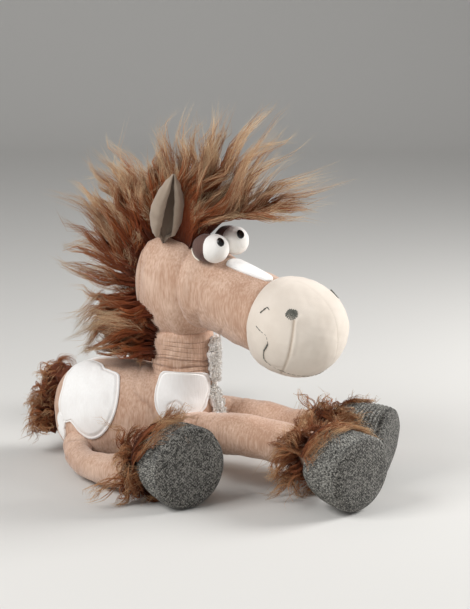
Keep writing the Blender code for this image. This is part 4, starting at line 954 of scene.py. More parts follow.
@dataclass
class Torso:
    """The stuffed body with its patches and the fleece on its chest."""

    length: float = 0.148
    width: float = 0.084
    height: float = 0.0905
    power: float = 2.7
    section_power: float = 2.4
    taper: float = 0.05
    middle: float = 0.04475
    stations: int = 165
    sides: int = 170
    patch_thickness: float = 0.0018

    def relief(self, points: Array) -> Array:
        """How far the stuffing and the pull of the seams lift or sink the cloth at each point."""
        return wander(points, 0.045, 11) * 0.0012 + wander(points, 0.016, 12) * 0.0005

    def folds(self, points: Array) -> tuple[Array, Array]:
        """The creases that fall from the withers on both sides, and a darker patch between them.

        Args:
            points: array of points.

        Returns:
            How deep the creases are at each point and how dark the patch between them is, both from 0 to 1.
        """
        deep, shaded = np.zeros(points.shape[:-1]), np.zeros(points.shape[:-1])
        for sign in (-1.0, 1.0):
            for marks in WITHERS_FOLDS:
                route = through(marks, 60)
                line = self.at(route[:, 0] / 1000, sign * route[:, 1], np.zeros(60))
                deep = np.maximum(deep, bump(nearest(points, line), FOLD_WIDTH))
            spot = self.at(np.array(0.0210), np.array(sign * 40.0), np.array(0.0))
            shaded = np.maximum(shaded, bump(np.linalg.norm((points - spot) * (1, 1, 0.6), axis=-1), 0.0105))
        return deep, shaded

    def at(self, forward: Array, degrees: Array, lift: Array) -> Array:
        """Point on the torso at a place along it and an angle from the top towards the left, raised by lift.

        The torso is r(x) * (sin a, cos a) over a superellipse section, with r = (1 - |x|^p)^(1/p) * (1 - taper * x).

        Args:
            forward: place along the torso.
            degrees: angle round it.
            lift: height over the cloth.

        Returns:
            Array of points.
        """
        forward, degrees, lift = np.broadcast_arrays(forward, degrees, lift)
        half, tiny = self.length / 2, 1e-4
        x = np.clip(forward / half, -0.999, 0.999)
        angle = np.radians(degrees)

        def plain(share: Array, turn: Array) -> Array:
            """Point of the torso without its relief.

            Args:
                share: place along it, in shares of its half length.
                turn: angle round it.

            Returns:
                Array of points.
            """
            radius = (1 - np.abs(share) ** self.power) ** (1 / self.power) * (1 - self.taper * share)
            radius = radius * (np.abs(np.sin(turn)) ** self.section_power
                               + np.abs(np.cos(turn)) ** self.section_power) ** (-1 / self.section_power)
            return np.stack([share * half, radius * np.sin(turn) * self.width / 2,
                             self.middle + radius * np.cos(turn) * self.height / 2], axis=-1)

        out = unit(np.cross(plain(x, angle + tiny) - plain(x, angle - tiny),
                            plain(x + tiny, angle) - plain(x - tiny, angle)))
        point = plain(x, angle)
        outward = point - np.array([0, 0, self.middle])
        out *= np.sign(np.sum(out * outward, axis=-1, keepdims=True))
        return point + out * (lift + self.relief(point))[..., None]

    def build_body(self) -> None:
        """The torso itself, flat where it rests."""
        turn = np.linspace(0, math.pi, self.stations + 2)[1:-1]
        x = -np.sign(np.cos(turn)) * np.abs(np.cos(turn)) ** (2 / self.power)
        radius = np.sin(turn) ** (2 / self.power) * (1 - self.taper * x)
        form = Form.forwards(x * self.length / 2, (0, 0, self.middle), radius * self.width / 2,
                             radius * self.height / 2, self.section_power, self.sides,
                             ((-self.length / 2, 0, self.middle), (self.length / 2, 0, self.middle)))
        deep, shaded = self.folds(form.rings)
        form = form.pushed(self.relief(form.rings) - FOLD_DEPTH * deep + 0.0006 * shaded).on_floor()
        # The crease mark paints shade into the withers folds and darkens the patch between them towards the deep colour
        place(form.piece("torso_plush", {"crease": 0.40 * deep + 0.22 * shaded}), BODY_PLUSH, "trunk", "plush",
              ["torso"], 0.85)

    def patch(self, name: str, sign: float, middle: tuple[float, float], marks: Sequence, node: str,
              stitched: Sequence = ()) -> None:
        """A white patch: a cushioned sheet inside an outline, with a raised satin edge beside a drawn-in row.

        Args:
            name: the piece's name.
            sign: which side it is on.
            middle: its middle, in millimetres along the torso and degrees round it.
            marks: places that its outline passes through, in the same way.
            node: the CAD node that it stands for.
            stitched: places along a curl that is stitched into it.
        """
        unit_forward, unit_turn = 30.0, 60.0
        away = (np.array(marks, float) - middle) / (unit_forward, unit_turn)
        bearing, reach = np.arctan2(away[:, 1], away[:, 0]), np.hypot(away[:, 0], away[:, 1])
        around = np.linspace(-math.pi, math.pi, 180, endpoint=False)
        order = np.argsort(bearing)
        outline = np.interp(around, bearing[order], reach[order], period=TURN)
        outline = smoothed(outline, 9, True)
        rho = np.concatenate([1 - 0.98 * np.linspace(1, 0, 44) ** 1.5, np.full(3, 1.0)])
        height = self.patch_thickness * (1 - 0.45 * ease(rho, 0.84, 0.93))
        height = height + 0.0005 * bump(rho - 0.965, 0.02)
        height[-3:] = (0.0010, 0.0004, -0.0010)
        # Painted shade: the crease mark darkens the drawn-in row inside the satin edge
        crease = bump(rho - 0.925, 0.014)[:, None] * np.ones((1, len(outline)))
        spread = rho[:, None] * outline[None]
        f = (middle[0] + unit_forward * spread * np.cos(around)) / 1000
        a = sign * (middle[1] + unit_turn * spread * np.sin(around))
        lift = np.broadcast_to(height[:, None], f.shape)
        if stitched:
            route = through(stitched, 60)
            line = self.at(route[:, 0] / 1000, sign * route[:, 1], np.full(60, self.patch_thickness))
            curl = bump(nearest(self.at(f, a, lift), line), 0.0010)
            # The crease mark also darkens the sunk stitched curl
            crease, lift = np.maximum(crease, 0.8 * curl), lift - SATIN_ROW_DEPTH * curl
        rings = self.clear_of_neck(self.at(f, a, lift), lift)
        tips = [self.clear_of_neck(self.at(*(np.array(v) for v in (middle[0] / 1000, sign * middle[1], depth))),
                                   np.array(depth)) for depth in (self.patch_thickness, -0.0010)]
        place(Form(rings, *tips).piece(name, {"crease": crease * 0.5}), WHITE_PLUSH, "trunk", "white_plush", [node])

    def clear_of_neck(self, points: Array, lift: Array) -> Array:
        """Points pushed out of the neck, sideways from its axis and a little up.

        The push is (s + sqrt(s^2 + r^2)) / 2 of how far s a point is sunk, which sets in softly over a reach r.

        Args:
            points: array of points.
            lift: how far each of them is to stay clear of the neck.

        Returns:
            The points, moved.
        """
        neck = Neck()
        away = points - np.array([neck.forward, 0.0, 0.0])
        away[..., 2] = 0
        gap = np.linalg.norm(away, axis=-1)
        below = np.maximum(neck.pivot - points[..., 2], 0)
        least = np.sqrt(np.maximum((neck.radius + 0.0012) ** 2 - below ** 2, 0)) + lift
        sunk = least - gap
        push = (0.5 * (sunk + np.sqrt(sunk ** 2 + 0.005 ** 2)) * ease(sunk, -0.012, -0.004))[..., None]
        return points + away / np.maximum(gap, 1e-6)[..., None] * push + np.array([0.0, 0.0, 0.35]) * push

    def build_patches(self) -> None:
        """The round patch at each shoulder and the one with a strip beside a notch on each flank."""
        for side in Side:
            for word, node, middle, outline, curl in (
                    ("flank_patch", "flank_patch", (-31.0, 62.0), FLANK_OUTLINE, ()),
                    ("flank_strip", "flank_patch", (-57.0, 106.0), STRIP_OUTLINE, ()),
                    ("shoulder_patch", "shoulder_patch", (50.0, 48.0), SHOULDER_OUTLINE, SHOULDER_CURL)):
                self.patch(f"{word}_plush_{side.word}", side.value, middle, outline, f"{node}_{side.word}", curl)

    def build(self) -> None:
        """All of the torso's pieces."""
        self.build_body()
        self.build_patches()


@dataclass
class Fleece:
    """A curly white strip down the throat and the chest."""

    half_width: float = 0.0085
    thickness: float = 0.0034
    chest_curls: int = 440
    throat_curls: int = 430
    throat_heights: tuple[float, float] = (0.0800, 0.1190)
    lock: Lock = Lock(2, 2, 8, 0.0005, 0.0010, 0.0012, 0.0036, 0.0004, 0.6, 0.0003, 0.00038, 0.8)

    def strip(self, name: str, places: Array, outward: Array, body: str, node: str, curls: int, seed: int) -> None:
        """A knobbly backing along a path with small curls all over it.

        Args:
            name: the backing's name.
            places: the strip's middle line.
            outward: unit vectors away from the body.
            body: the CAD body that it rides on.
            node: the CAD node that it stands for.
            curls: how many curls stand on it.
            seed: picks them.
        """
        count = len(places)
        swell = np.sin(np.linspace(0.45, math.pi - 0.45, count)) ** 0.5
        across = np.tile([0.0, 1.0, 0.0], (count, 1))
        form = Form.carried(places + outward * self.thickness / 2, across, outward, self.half_width * swell,
                            self.thickness * 0.8 * swell, 2.0, 60)
        form = form.pushed(wander(form.rings, 0.0050, seed) * 0.0018 + wander(form.rings, 0.0020, seed + 9) * 0.0007)
        backing = place(form.piece(name, SMOOTH), WHITE_PLUSH, body, "fleece", [node])
        rng = np.random.default_rng(seed)
        k = rng.integers(1, count - 1, curls)
        aside = rng.uniform(-1, 1, curls)
        roots = (places[k] + across[k] * (aside * self.half_width * swell[k])[:, None]
                 + outward[k] * (self.thickness * (0.4 + 0.8 * np.sqrt(1 - aside ** 2)))[:, None])
        ways = unit(outward[k] + across[k] * aside[:, None] * 0.8 + rng.normal(0, 0.35, (curls, 3)))
        tips = roots + ways * rng.uniform(0.0026, 0.0060, (curls, 1)) + np.array([0, 0, -0.0012])
        curls_piece = Fur.grown(bows(roots, ways, tips, 0.5, 7), self.lock, seed).piece(f"{name}_curls", seed)
        place(curls_piece, FLEECE_PILE, body, "fleece")
        LOG.info("%s carries %s", backing.name, curls_piece.name)

    def build(self) -> None:
        """The strip on the chest, which stays with the torso, and the one on the neck."""
        torso = Torso()
        half = torso.length / 2
        turn = np.linspace(math.radians(36), math.radians(-24), 40)
        x = np.cos(turn) ** (2 / torso.power)
        z = np.sign(np.sin(turn)) * np.abs(np.sin(turn)) ** (2 / torso.power)
        places = np.stack([x * half, 0 * x, torso.middle + z * torso.height / 2], 1)
        ahead = unit(np.gradient(places, axis=0))
        outward = np.cross(ahead, [0.0, 1.0, 0.0])
        outward *= np.sign(outward[:, :1])
        self.strip("chest_fleece_strip", places, outward, "trunk", "chest_fleece", self.chest_curls, 21)
        neck = Neck()
        heights = np.linspace(*self.throat_heights, 30)
        places = np.stack([np.full(30, neck.forward + neck.radius), 0 * heights, heights], 1)
        self.strip("throat_fleece_strip", places, np.tile([1.0, 0.0, 0.0], (30, 1)), "neck_stalk", "throat_fleece",
                   self.throat_curls, 22)


@dataclass
class Neck:
    """The upright stuffed neck, gathered into rings."""

    forward: float = 0.043
    pivot: float = 0.0755
    radius: float = 0.0262
    top: float = 0.119
    gather: float = 0.0043
    depth: float = 0.0008
    dome: float = 0.010

    def build(self) -> None:
        """A round profile with sharp creases between soft rings, their height drifting round the neck."""
        low = np.linspace(-math.pi / 2, 0, 24)[1:]
        ball = np.stack([self.pivot + np.sin(low) * self.radius, np.cos(low) * self.radius], 1)
        straight = np.linspace(self.pivot, self.top, 150)[1:]
        tube = np.stack([straight, np.full(149, self.radius)], 1)
        high = np.linspace(0, math.pi / 2, 12)[1:-1]
        dome = np.stack([self.top + np.sin(high) * self.dome, np.cos(high) * self.radius], 1)
        profile = np.vstack([ball, tube, dome])
        count = len(profile)
        centres = np.stack([np.full(count, self.forward), np.zeros(count), profile[:, 0]], 1)
        form = Form.carried(centres, np.tile([1.0, 0.0, 0.0], (count, 1)), np.tile([0.0, 1.0, 0.0], (count, 1)),
                            profile[:, 1], profile[:, 1], 2.0, 140,
                            ((self.forward, 0, self.pivot - self.radius), (self.forward, 0, self.top + self.dome)))
        z = form.rings[..., 2] + wander(form.rings, 0.030, 31) * 0.0018
        crease = bump(np.sin(math.pi * z / self.gather), 0.30)
        crease *= ease(form.rings[..., 2], 0.072, 0.082) * (1 - ease(form.rings[..., 2], 0.118, 0.124))
        crease *= 0.25 + 0.75 * ease(wander(form.rings, 0.016, 32), -0.3, 0.4)
        deep = bump(z - 0.1005, 0.0009) + 0.7 * bump(z - 0.0950, 0.0009)
        form = form.pushed(-self.depth * crease - 0.0010 * deep + 0.0006 + wander(form.rings, 0.012, 33) * 0.0006)
        # Painted shade: the crease mark darkens the gathers' creases and the two deep folds
        place(form.piece("neck_plush", {"crease": np.minimum(crease * 0.35 + deep * 0.5, 1)}), BODY_PLUSH,
              "neck_stalk", "plush", ["neck"], 0.7)


HEAD_RISE = 0.161
HEAD_TURNS = ((-20.0, "Z"), (8.0, "Y"), (8.0, "X"))


def head_place() -> Array:
    """The matrix that puts the head's own axes in place: on the neck's axis, and turned three times.

    Returns:
        The 4 by 4 matrix.
    """
    made = Matrix.Translation((Neck.forward, 0.0, HEAD_RISE))
    for degrees, axis in HEAD_TURNS:
        made = made @ Matrix.Rotation(math.radians(degrees), 4, axis)
    return np.array(made)


HEAD_PLACE = head_place()


@dataclass
class Head:
    """The skull, the snout, the muzzle, the eyes and the ears, all in the head's own axes."""

    length: float = 0.084
    width: float = 0.072
    height: float = 0.092
    power: float = 2.2
    section_power: float = 2.4
    snout_radius: float = 0.0335
    snout_width_share: float = 0.93
    snout_start: float = 0.012
    snout_end: float = 0.104
    snout_rises: tuple[float, float] = (0.0095, -0.0010)
    muzzle_seam: float = 0.100
    muzzle_length: float = 0.068
    muzzle_radius: float = 0.0405
    muzzle_power: float = 2.15
    muzzle_middle: float = 0.36
    eye_radius: float = 0.0120
    eye_place: tuple[float, float, float] = (0.0475, 0.0126, 0.0505)
    lid_radius: float = 0.0118
    lid_behind: tuple[float, float, float] = (-0.0086, 0.0012, -0.0012)
    piping_radius: float = 0.0122
    piping_size: float = 0.0011
    ear_width: float = 0.0124
    ear_length: float = 0.0677
    ear_wall: float = 0.0018
    ear_root: tuple[float, float, float] = (-0.0055, 0.0175, 0.0020)
    ear_up: tuple[float, float, float] = (0.32, 0.17, 1.0)
    ear_facing: tuple[float, float, float] = (0.80, 0.55, 0.0)

    def surface(self, ways: Array) -> Array:
        """Points of the skull along directions from its middle.

        The skull is ((|y|/w)^s + (|z|/h)^s)^(p/s) + (|x|/l)^p = 1, so the reach is that sum to the power -1/p.

        Args:
            ways: unit vectors in the head's own axes.

        Returns:
            Array of points.
        """
        x, y, z = (np.abs(ways[..., k]) for k in range(3))
        section = (y / (self.width / 2)) ** self.section_power + (z / (self.height / 2)) ** self.section_power
        total = section ** (self.power / self.section_power) + (x / (self.length / 2)) ** self.power
        return ways * (total ** (-1 / self.power))[..., None]

    def build_skull(self) -> None:
        """The skull with its stitched seam behind the cheek."""
        turn = np.linspace(0, math.pi, 152)[1:-1]
        x = -np.sign(np.cos(turn)) * np.abs(np.cos(turn)) ** (2 / self.power)
        radius = np.sin(turn) ** (2 / self.power)
        form = Form.forwards(x * self.length / 2, (0, 0, 0), radius * self.width / 2, radius * self.height / 2,
                             self.section_power, 230, ((-self.length / 2, 0, 0), (self.length / 2, 0, 0)))
        f = form.rings[..., 0] + 0.10 * np.abs(form.rings[..., 2]) + 0.0006 * wander(form.rings, 0.02, 41)
        seam = bump(f + 0.0235, 0.0011)
        beside = bump(f + 0.0205, 0.0016)
        puckers = np.cos(TURN * form.rings[..., 2] / 0.0036) * bump(f + 0.0225, 0.0040)
        lumps = wander(form.rings, 0.040, 42) * 0.0008 + wander(form.rings * (1, 1, 0.3), 0.013, 43) * 0.0008
        form = form.pushed(lumps - 0.0009 * seam + 0.0003 * beside + 0.00022 * puckers).moved(HEAD_PLACE)
        # Painted shade: the crease mark darkens the sunk seam and the hollows between the puckers
        crease = seam * 0.55 + 0.12 * np.maximum(-puckers, 0)
        place(form.piece("head_plush", {"crease": crease}), BODY_PLUSH, "head_group", "plush", ["head"], 0.9)

    def snout_middle(self, forward: Array) -> Array:
        """Middle of the snout at a place along the head's forward axis, on a straight line that sinks forwards.

        Args:
            forward: the place.

        Returns:
            Array of points.
        """
        share = (forward - self.snout_start) / (self.muzzle_seam - self.snout_start)
        rise = self.snout_rises[0] + (self.snout_rises[1] - self.snout_rises[0]) * share
        return np.stack([forward, 0 * forward, rise], axis=-1)

    def build_snout(self) -> None:
        """The snout, a little waisted, with creases where it meets the cheeks and the muzzle."""
        forward = np.linspace(self.snout_start, self.snout_end, 115)
        share = (forward - self.snout_start) / (self.snout_end - self.snout_start)
        waist = 1 - 0.02 * np.sin(share * math.pi) + 0.085 * bump(forward - 0.029, 0.008)
        ways = np.tile([0.0, 1.0, 0.0], (len(forward), 1)), np.tile([0.0, 0.0, 1.0], (len(forward), 1))
        form = Form.carried(self.snout_middle(forward), *ways,
                            self.snout_radius * self.snout_width_share * waist, self.snout_radius * waist, 2.0, 145)
        x = form.rings[..., 0]
        low = ease(-form.rings[..., 2], -0.006, 0.024)
        seam = bump(x - 0.0440 - 0.20 * form.rings[..., 2], 0.0022) * (0.25 + 0.75 * low)
        jaw = bump(x - 0.0560 - 0.9 * (form.rings[..., 2] + 0.026), 0.0016) * low
        rim = ease(x, self.muzzle_seam - 0.006, self.muzzle_seam)
        pucker = np.cos(30 * np.arctan2(form.rings[..., 1], form.rings[..., 2])) * rim * 0.0003
        lumps = wander(form.rings, 0.030, 44) * 0.0006 + wander(form.rings, 0.012, 45) * 0.00025
        form = form.pushed(lumps - 0.0011 * seam - 0.0009 * jaw - 0.0014 * rim ** 2 + pucker).moved(HEAD_PLACE)
        # Painted shade: the crease mark darkens the cheek and jaw creases and the rim tucked under the muzzle
        place(form.piece("snout_plush", {"crease": np.maximum(seam * 0.3 + jaw * 0.3, rim ** 3 * 0.5)}), BODY_PLUSH,
              "head_group", "plush", ["snout"], 0.9)

    def build_blaze(self) -> None:
        """The white strip that lies along the ridge of the snout."""
        around = np.linspace(0, TURN, 160, endpoint=False)
        rho = np.concatenate([np.linspace(0.03, 1.0, 26), np.full(2, 1.0)])
        thickness, sunk = 0.0018, -0.0010
        height = thickness * (1 - 0.5 * ease(rho, 0.85, 1.0) ** 2)
        height[-2:] = (0.0005, sunk)
        corner = 1 / np.maximum(np.abs(np.cos(around)), np.abs(np.sin(around))) ** 0.6
        start, end = 0.053, 0.0985
        f = (start + end) / 2 + (end - start) / 2 * rho[:, None] * np.cos(around) * corner
        narrowing = np.interp(f, (start - 0.002, end + 0.002), (18.0, 9.0))
        angle = np.radians(narrowing * rho[:, None] * np.sin(around) * corner)

        def over(forward: Array, turn: Array, lift: Array) -> Array:
            """Point of the snout at a place along it and an angle from its ridge.

            Args:
                forward: the place.
                turn: the angle.
                lift: height over the cloth.

            Returns:
                Array of points.
            """
            across = np.sin(turn) * (self.snout_radius * self.snout_width_share + lift)
            up = np.cos(turn) * (self.snout_radius + lift)
            return self.snout_middle(forward) + np.stack([0 * across, across, up], axis=-1)

        rings = over(f, angle, height[:, None])
        middle = np.array([(start + end) / 2])
        tips = [over(middle, 0 * middle, np.array([lift]))[0] for lift in (thickness, sunk)]
        form = Form(rings, *tips).moved(HEAD_PLACE)
        place(form.piece("blaze_plush", SMOOTH), WHITE_PLUSH, "head_group", "white_plush", ["blaze"])

    def on_muzzle(self, aside: Array, above: Array, lift: float) -> tuple[Array, Array]:
        """Places on the muzzle's front.

        Args:
            aside: angle from the middle towards the left, in degrees.
            above: angle over the middle, in degrees.
            lift: height over the cloth.

        Returns:
            The points and the way out at each.
        """
        a, b = np.radians(aside), np.radians(above)
        out = np.stack([np.cos(b) * np.cos(a), np.cos(b) * np.sin(a), np.sin(b)], axis=-1)
        half = self.muzzle_length * (1 - self.muzzle_middle)
        reach = ((np.abs(out[..., 0]) / half) ** self.muzzle_power
                 + (np.hypot(out[..., 1], out[..., 2]) / self.muzzle_radius) ** self.muzzle_power) ** (
            -1 / self.muzzle_power)
        middle = np.array([self.muzzle_seam + self.muzzle_length * self.muzzle_middle, 0.0, self.snout_rises[1]])
        return middle + out * (reach + lift)[..., None], out

    def build_muzzle(self) -> None:
        """The smooth bulb with its darts and its middle seam drawn in."""
        middle = self.muzzle_seam + self.muzzle_length * self.muzzle_middle
        turn = np.linspace(math.pi / 2, 0, 91)[:-1]
        front = self.muzzle_length * (1 - self.muzzle_middle) * np.cos(turn) ** (2 / self.muzzle_power)
        share = np.linspace(0, 1, 34)[:-1]
        back = (share - 1) * self.muzzle_length * self.muzzle_middle
        rolled = np.interp(share, (0.0, 0.04, 0.14, 0.39, 0.7, 1.0), (0.80, 0.855, 0.905, 0.965, 0.992, 1.0))
        radii = np.concatenate([rolled, np.sin(turn) ** (2 / self.muzzle_power)]) * self.muzzle_radius
        along = np.concatenate([back, front])
        tips = ((self.muzzle_seam, 0, self.snout_rises[1]),
                (self.muzzle_seam + self.muzzle_length, 0, self.snout_rises[1]))
        form = Form.forwards(middle + along, (0, 0, self.snout_rises[1]), radii, radii, 2.0, 190, tips)
        seams, folds = np.zeros(form.rings.shape[:2]), np.zeros(form.rings.shape[:2])

        def drawn(marks: Array, width: float) -> Array:
            """A soft line on the bulb through places on its front.

            Args:
                marks: angles aside and above of each place.
                width: the line's width.

            Returns:
                Shares from 0 to 1, shaped like the rings' points.
            """
            line, _ = self.on_muzzle(marks[:, 0], marks[:, 1], 0.0)
            return bump(nearest(form.rings, line), width)

        for side in Side:
            for marks, strength in MUZZLE_SEAMS:
                line = drawn(through(marks, 60) * (side.value, 1), MUZZLE_SEAM_WIDTH)
                seams = np.maximum(seams, strength * line)
            folds = np.maximum(folds, drawn(through(MUZZLE_FOLD, 50) * (side.value, 1), FOLD_WIDTH))
        front = np.stack([np.zeros(70), np.linspace(-88, 88, 70)], 1)
        seams = np.maximum(seams, 0.2 * drawn(front, MUZZLE_SEAM_WIDTH))
        lumps = wander(form.rings, 0.035, 51) * 0.0006 + wander(form.rings, 0.010, 52) * 0.00015
        form = form.pushed(lumps - 0.0008 * seams + 0.0006 * folds).moved(HEAD_PLACE)
        # Painted shade: the crease mark darkens the sunk darts and the faint middle seam
        place(form.piece("muzzle_suede", {"crease": seams}), MUZZLE_SUEDE, "head_group", "suede", ["muzzle"], 1.0)

    def build_nostrils(self) -> None:
        """Satin stitches round a middle: a low dome with ridges that fan out."""
        for side in Side:
            spot, out = self.on_muzzle(np.array(side.value * NOSTRIL_PLACE[0]), np.array(NOSTRIL_PLACE[1]), 0.0)
            across = unit(np.cross(out, (0, 0, 1.0)))
            up = np.cross(across, out)
            rho = np.concatenate([np.linspace(0.05, 1, 18), [1.0]])
            around = np.linspace(0, TURN, 96, endpoint=False)
            ridge = 0.00030 * np.cos(15 * around[None] + 4.0 * rho[:, None])
            height = 0.0002 * (1 - rho ** 2)[:, None] - 0.0003 * bump(rho, 0.3)[:, None]
            height = height + ridge * ease(rho, 0.1, 0.5)[:, None] + 0.0002
            height[-1] = -0.0012
            size = NOSTRIL_SIZE * rho[:, None] * (1 + 0.06 * np.cos(2 * around) + 0.05 * np.cos(5 * around + 1)
                                                  + 0.06 * np.cos(17 * around))
            rings = (spot + across * (size * np.cos(around))[..., None] + up * (size * np.sin(around))[..., None]
                     + out * height[..., None])
            form = Form(rings, spot + out * 0.0008, spot - out * 0.0012).moved(HEAD_PLACE)
            place(form.piece(f"nostril_embroidery_{side.word}"), GREY_THREAD, "head_group", "thread",
                  [f"nostril_{side.word}"])

    def stitched_line(self, name: str, marks: Sequence, radius: float, stitch: float) -> bpy.types.Object:
        """A line of back stitches on the muzzle: a tube that dips between its stitches.

        Args:
            name: the piece's name.
            marks: angles aside and above that it passes through.
            radius: the thread's radius.
            stitch: the length of a stitch.

        Returns:
            The object.
        """
        route = through(marks, 200)
        places, out = self.on_muzzle(route[:, 0], route[:, 1], 0.0)
        steps = np.concatenate([[0.0], np.cumsum(np.linalg.norm(np.diff(places, axis=0), axis=1))])
        bulge = np.abs(np.sin(math.pi * steps / stitch)) ** 0.5
        ahead = unit(np.gradient(places, axis=0))
        across = np.cross(out, ahead)
        size = radius * (0.55 + 0.45 * bulge)
        form = Form.carried(places + out * (radius * (bulge - 0.6))[:, None], across, out, size, size, 2.0, 6)
        return form.moved(HEAD_PLACE).piece(name)

    def build_mouth(self) -> None:
        """The thin smile round the back of the muzzle, and the short crease over each end of it."""
        smile = self.stitched_line("mouth_back_stitch", SMILE, SMILE_RADIUS, SMILE_STITCH)
        place(smile, PALE_THREAD, "head_group", "thread", ["mouth_stitch"])
        for side in Side:
            for word, (marks, radius) in MOUTH_ENDS.items():
                line = self.stitched_line(f"{word}_stitch_{side.word}", np.array(marks) * (side.value, 1), radius,
                                          END_STITCH)
                place(line, GREY_THREAD, "head_group", "thread")

    def build_eyes(self) -> None:
        """Stuffed balls with a bead each, before a smooth brown pad with a piped edge."""
        for side in Side:
            eye = np.array(self.eye_place) * (1, side.value, 1)
            self.ball(f"eye_ball_{side.word}", eye, self.eye_radius, EYE_PLUSH, "eye", f"eye_{side.word}", 61)
            lid = eye + np.array(self.lid_behind) * (1, side.value, 1)
            self.ball(f"eyelid_pad_{side.word}", lid, self.lid_radius, LID_PLUSH, "lid", f"eyelid_{side.word}", 62)
            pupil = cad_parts[f"pupil_{side.word}"]
            pupil.data.materials.clear()
            pupil.data.materials.append(PUPIL_BEAD.material())
            LOG.info("%s keeps its CAD shape: %s", pupil.name, PUPIL_BEAD.name)
            self.piping(side, lid)

    def ball(self, name: str, centre: Array, radius: float, finish: Finish, slot: str, node: str, seed: int) -> None:
        """A stuffed ball with slight lumps.

        Args:
            name: the piece's name.
            centre: its middle.
            radius: its radius.
            finish: what it is made of.
            slot: the record's material slot.
            node: the CAD node that it stands for.
            seed: picks the lumps.
        """
        turn = np.linspace(0, math.pi, 60)[1:-1]
        radii = np.sin(turn) * radius
        form = Form.forwards(-np.cos(turn) * radius, centre, radii, radii, 2.0, 80,
                             (centre - (radius, 0, 0), centre + (radius, 0, 0)))
        form = form.pushed(wander(form.rings, 0.009, seed) * 0.00022 - 0.0001).moved(HEAD_PLACE)
        place(form.piece(name, SMOOTH), finish, "head_group", slot, [node], 1.0)

    def piping(self, side: Side, lid: Array) -> None:
        """A cream cord along the lower back edge of the eye's pad, half sunk in the cheek.

        Args:
            side: which eye's.
            lid: the pad's middle.
        """
        turn = np.linspace(math.radians(188), math.radians(258), 60)
        ring = np.stack([np.cos(turn), np.full(60, side.value * 0.55), np.sin(turn)], 1)
        places = lid + unit(ring) * self.piping_radius
        ahead = unit(np.gradient(places, axis=0))
        out = unit(places - lid)
        size = self.piping_size * np.sin(np.linspace(0.12, math.pi - 0.12, 60)) ** 0.6
        form = Form.carried(places, np.cross(out, ahead), out, size, size, 2.0, 16).moved(HEAD_PLACE)
        place(form.piece(f"eyelid_piping_{side.word}", SMOOTH), PIPING_SUEDE, "head_group", "suede")

    def build_ears(self) -> None:
        """A folded leaf each: an oval trough of thick suede whose rolled edges come close, gathered at the root."""
        half, stations = 40, 80
        rows, column = np.linspace(0, 1, stations)[:, None], np.linspace(-1, 1, half)[None]
        width = self.ear_width * np.clip(np.sin(math.pi * (0.15 + 0.82 * rows ** 0.85)), 0.10, None)
        fold = np.radians(157 + 9 * rows - 20 * (1 - rows) ** 6)
        turn = column * fold
        aside, depth = width * np.sin(turn), -width * (0.60 * np.cos(turn) + 0.30)
        away = unit(np.stack([0.60 * np.sin(turn), -np.cos(turn)], -1))
        wall = self.ear_wall * (np.sqrt(np.clip(1 - column ** 8, 0.05, 1))
                                + 0.5 * bump(np.abs(column) - 0.88, 0.07))
        wall = wall * np.minimum(1, width / 0.0060)
        height = 0.0032 + rows * self.ear_length
        ring = (1 - (0.002 / (self.length / 2)) ** self.power) ** (1 / self.power)
        left = 1 - (self.ear_root[1] / (ring * self.width / 2)) ** self.section_power
        skull_top = left ** (1 / self.section_power) * ring * self.height / 2
        for side in Side:
            mirror = (1, side.value, 1)
            root = (np.array(self.ear_root) + (0, 0, skull_top)) * mirror
            up = unit(np.array(self.ear_up) * mirror)
            facing = unit(np.cross(np.cross(up, np.array(self.ear_facing) * mirror), up))
            across = np.cross(up, facing)
            base = root + height[..., None] * up
            sheets = []
            for sign, order in ((1.0, slice(None)), (-1.0, slice(None, None, -1))):
                a = aside + sign * wall * away[..., 0]
                d = depth + sign * wall * away[..., 1]
                sheets.append((base + a[..., None] * across + d[..., None] * facing)[:, order])
            rings = np.concatenate(sheets, axis=1)
            middle = base[:, 0] + depth.mean(1)[:, None] * facing
            shrink = 1 - 0.5 * ease(-rows, -0.06, 0.0)[..., None]
            rings = middle[:, None] + (rings - middle[:, None]) * shrink
            form = Form(rings, root - up * 0.004, middle[-1] + up * 0.0010)
            # Painted shade: the crease mark darkens the inside of the fold, most towards its middle and least at the
            # rolled edges
            inner = np.concatenate([np.zeros(half), np.ones(half)])[None] * np.ones((stations, 1))
            both = np.concatenate([column[0], column[0, ::-1]])[None]
            edge = np.abs(both) ** 8
            deep = 0.25 + 0.75 * bump(both, 0.45)
            gathers = 0.0005 * np.cos(9 * np.concatenate([turn, turn[:, ::-1]], 1)) * (1 - ease(rows, 0.0, 0.25))
            form = form.pushed(wander(form.rings, 0.012, 71) * 0.0004 + gathers).moved(HEAD_PLACE)
            place(form.piece(f"ear_suede_{side.word}", {"crease": inner * (1 - edge) * deep}), EAR_SUEDE,
                  f"ear_{side.word}_flap", "ear_suede", [f"ear_{side.word}"], 0.3)

    def build(self) -> None:
        """All of the head's pieces but the mane."""
        self.build_skull()
        self.build_snout()
        self.build_blaze()
        self.build_muzzle()
        self.build_nostrils()
        self.build_mouth()
        self.build_eyes()
        self.build_ears()


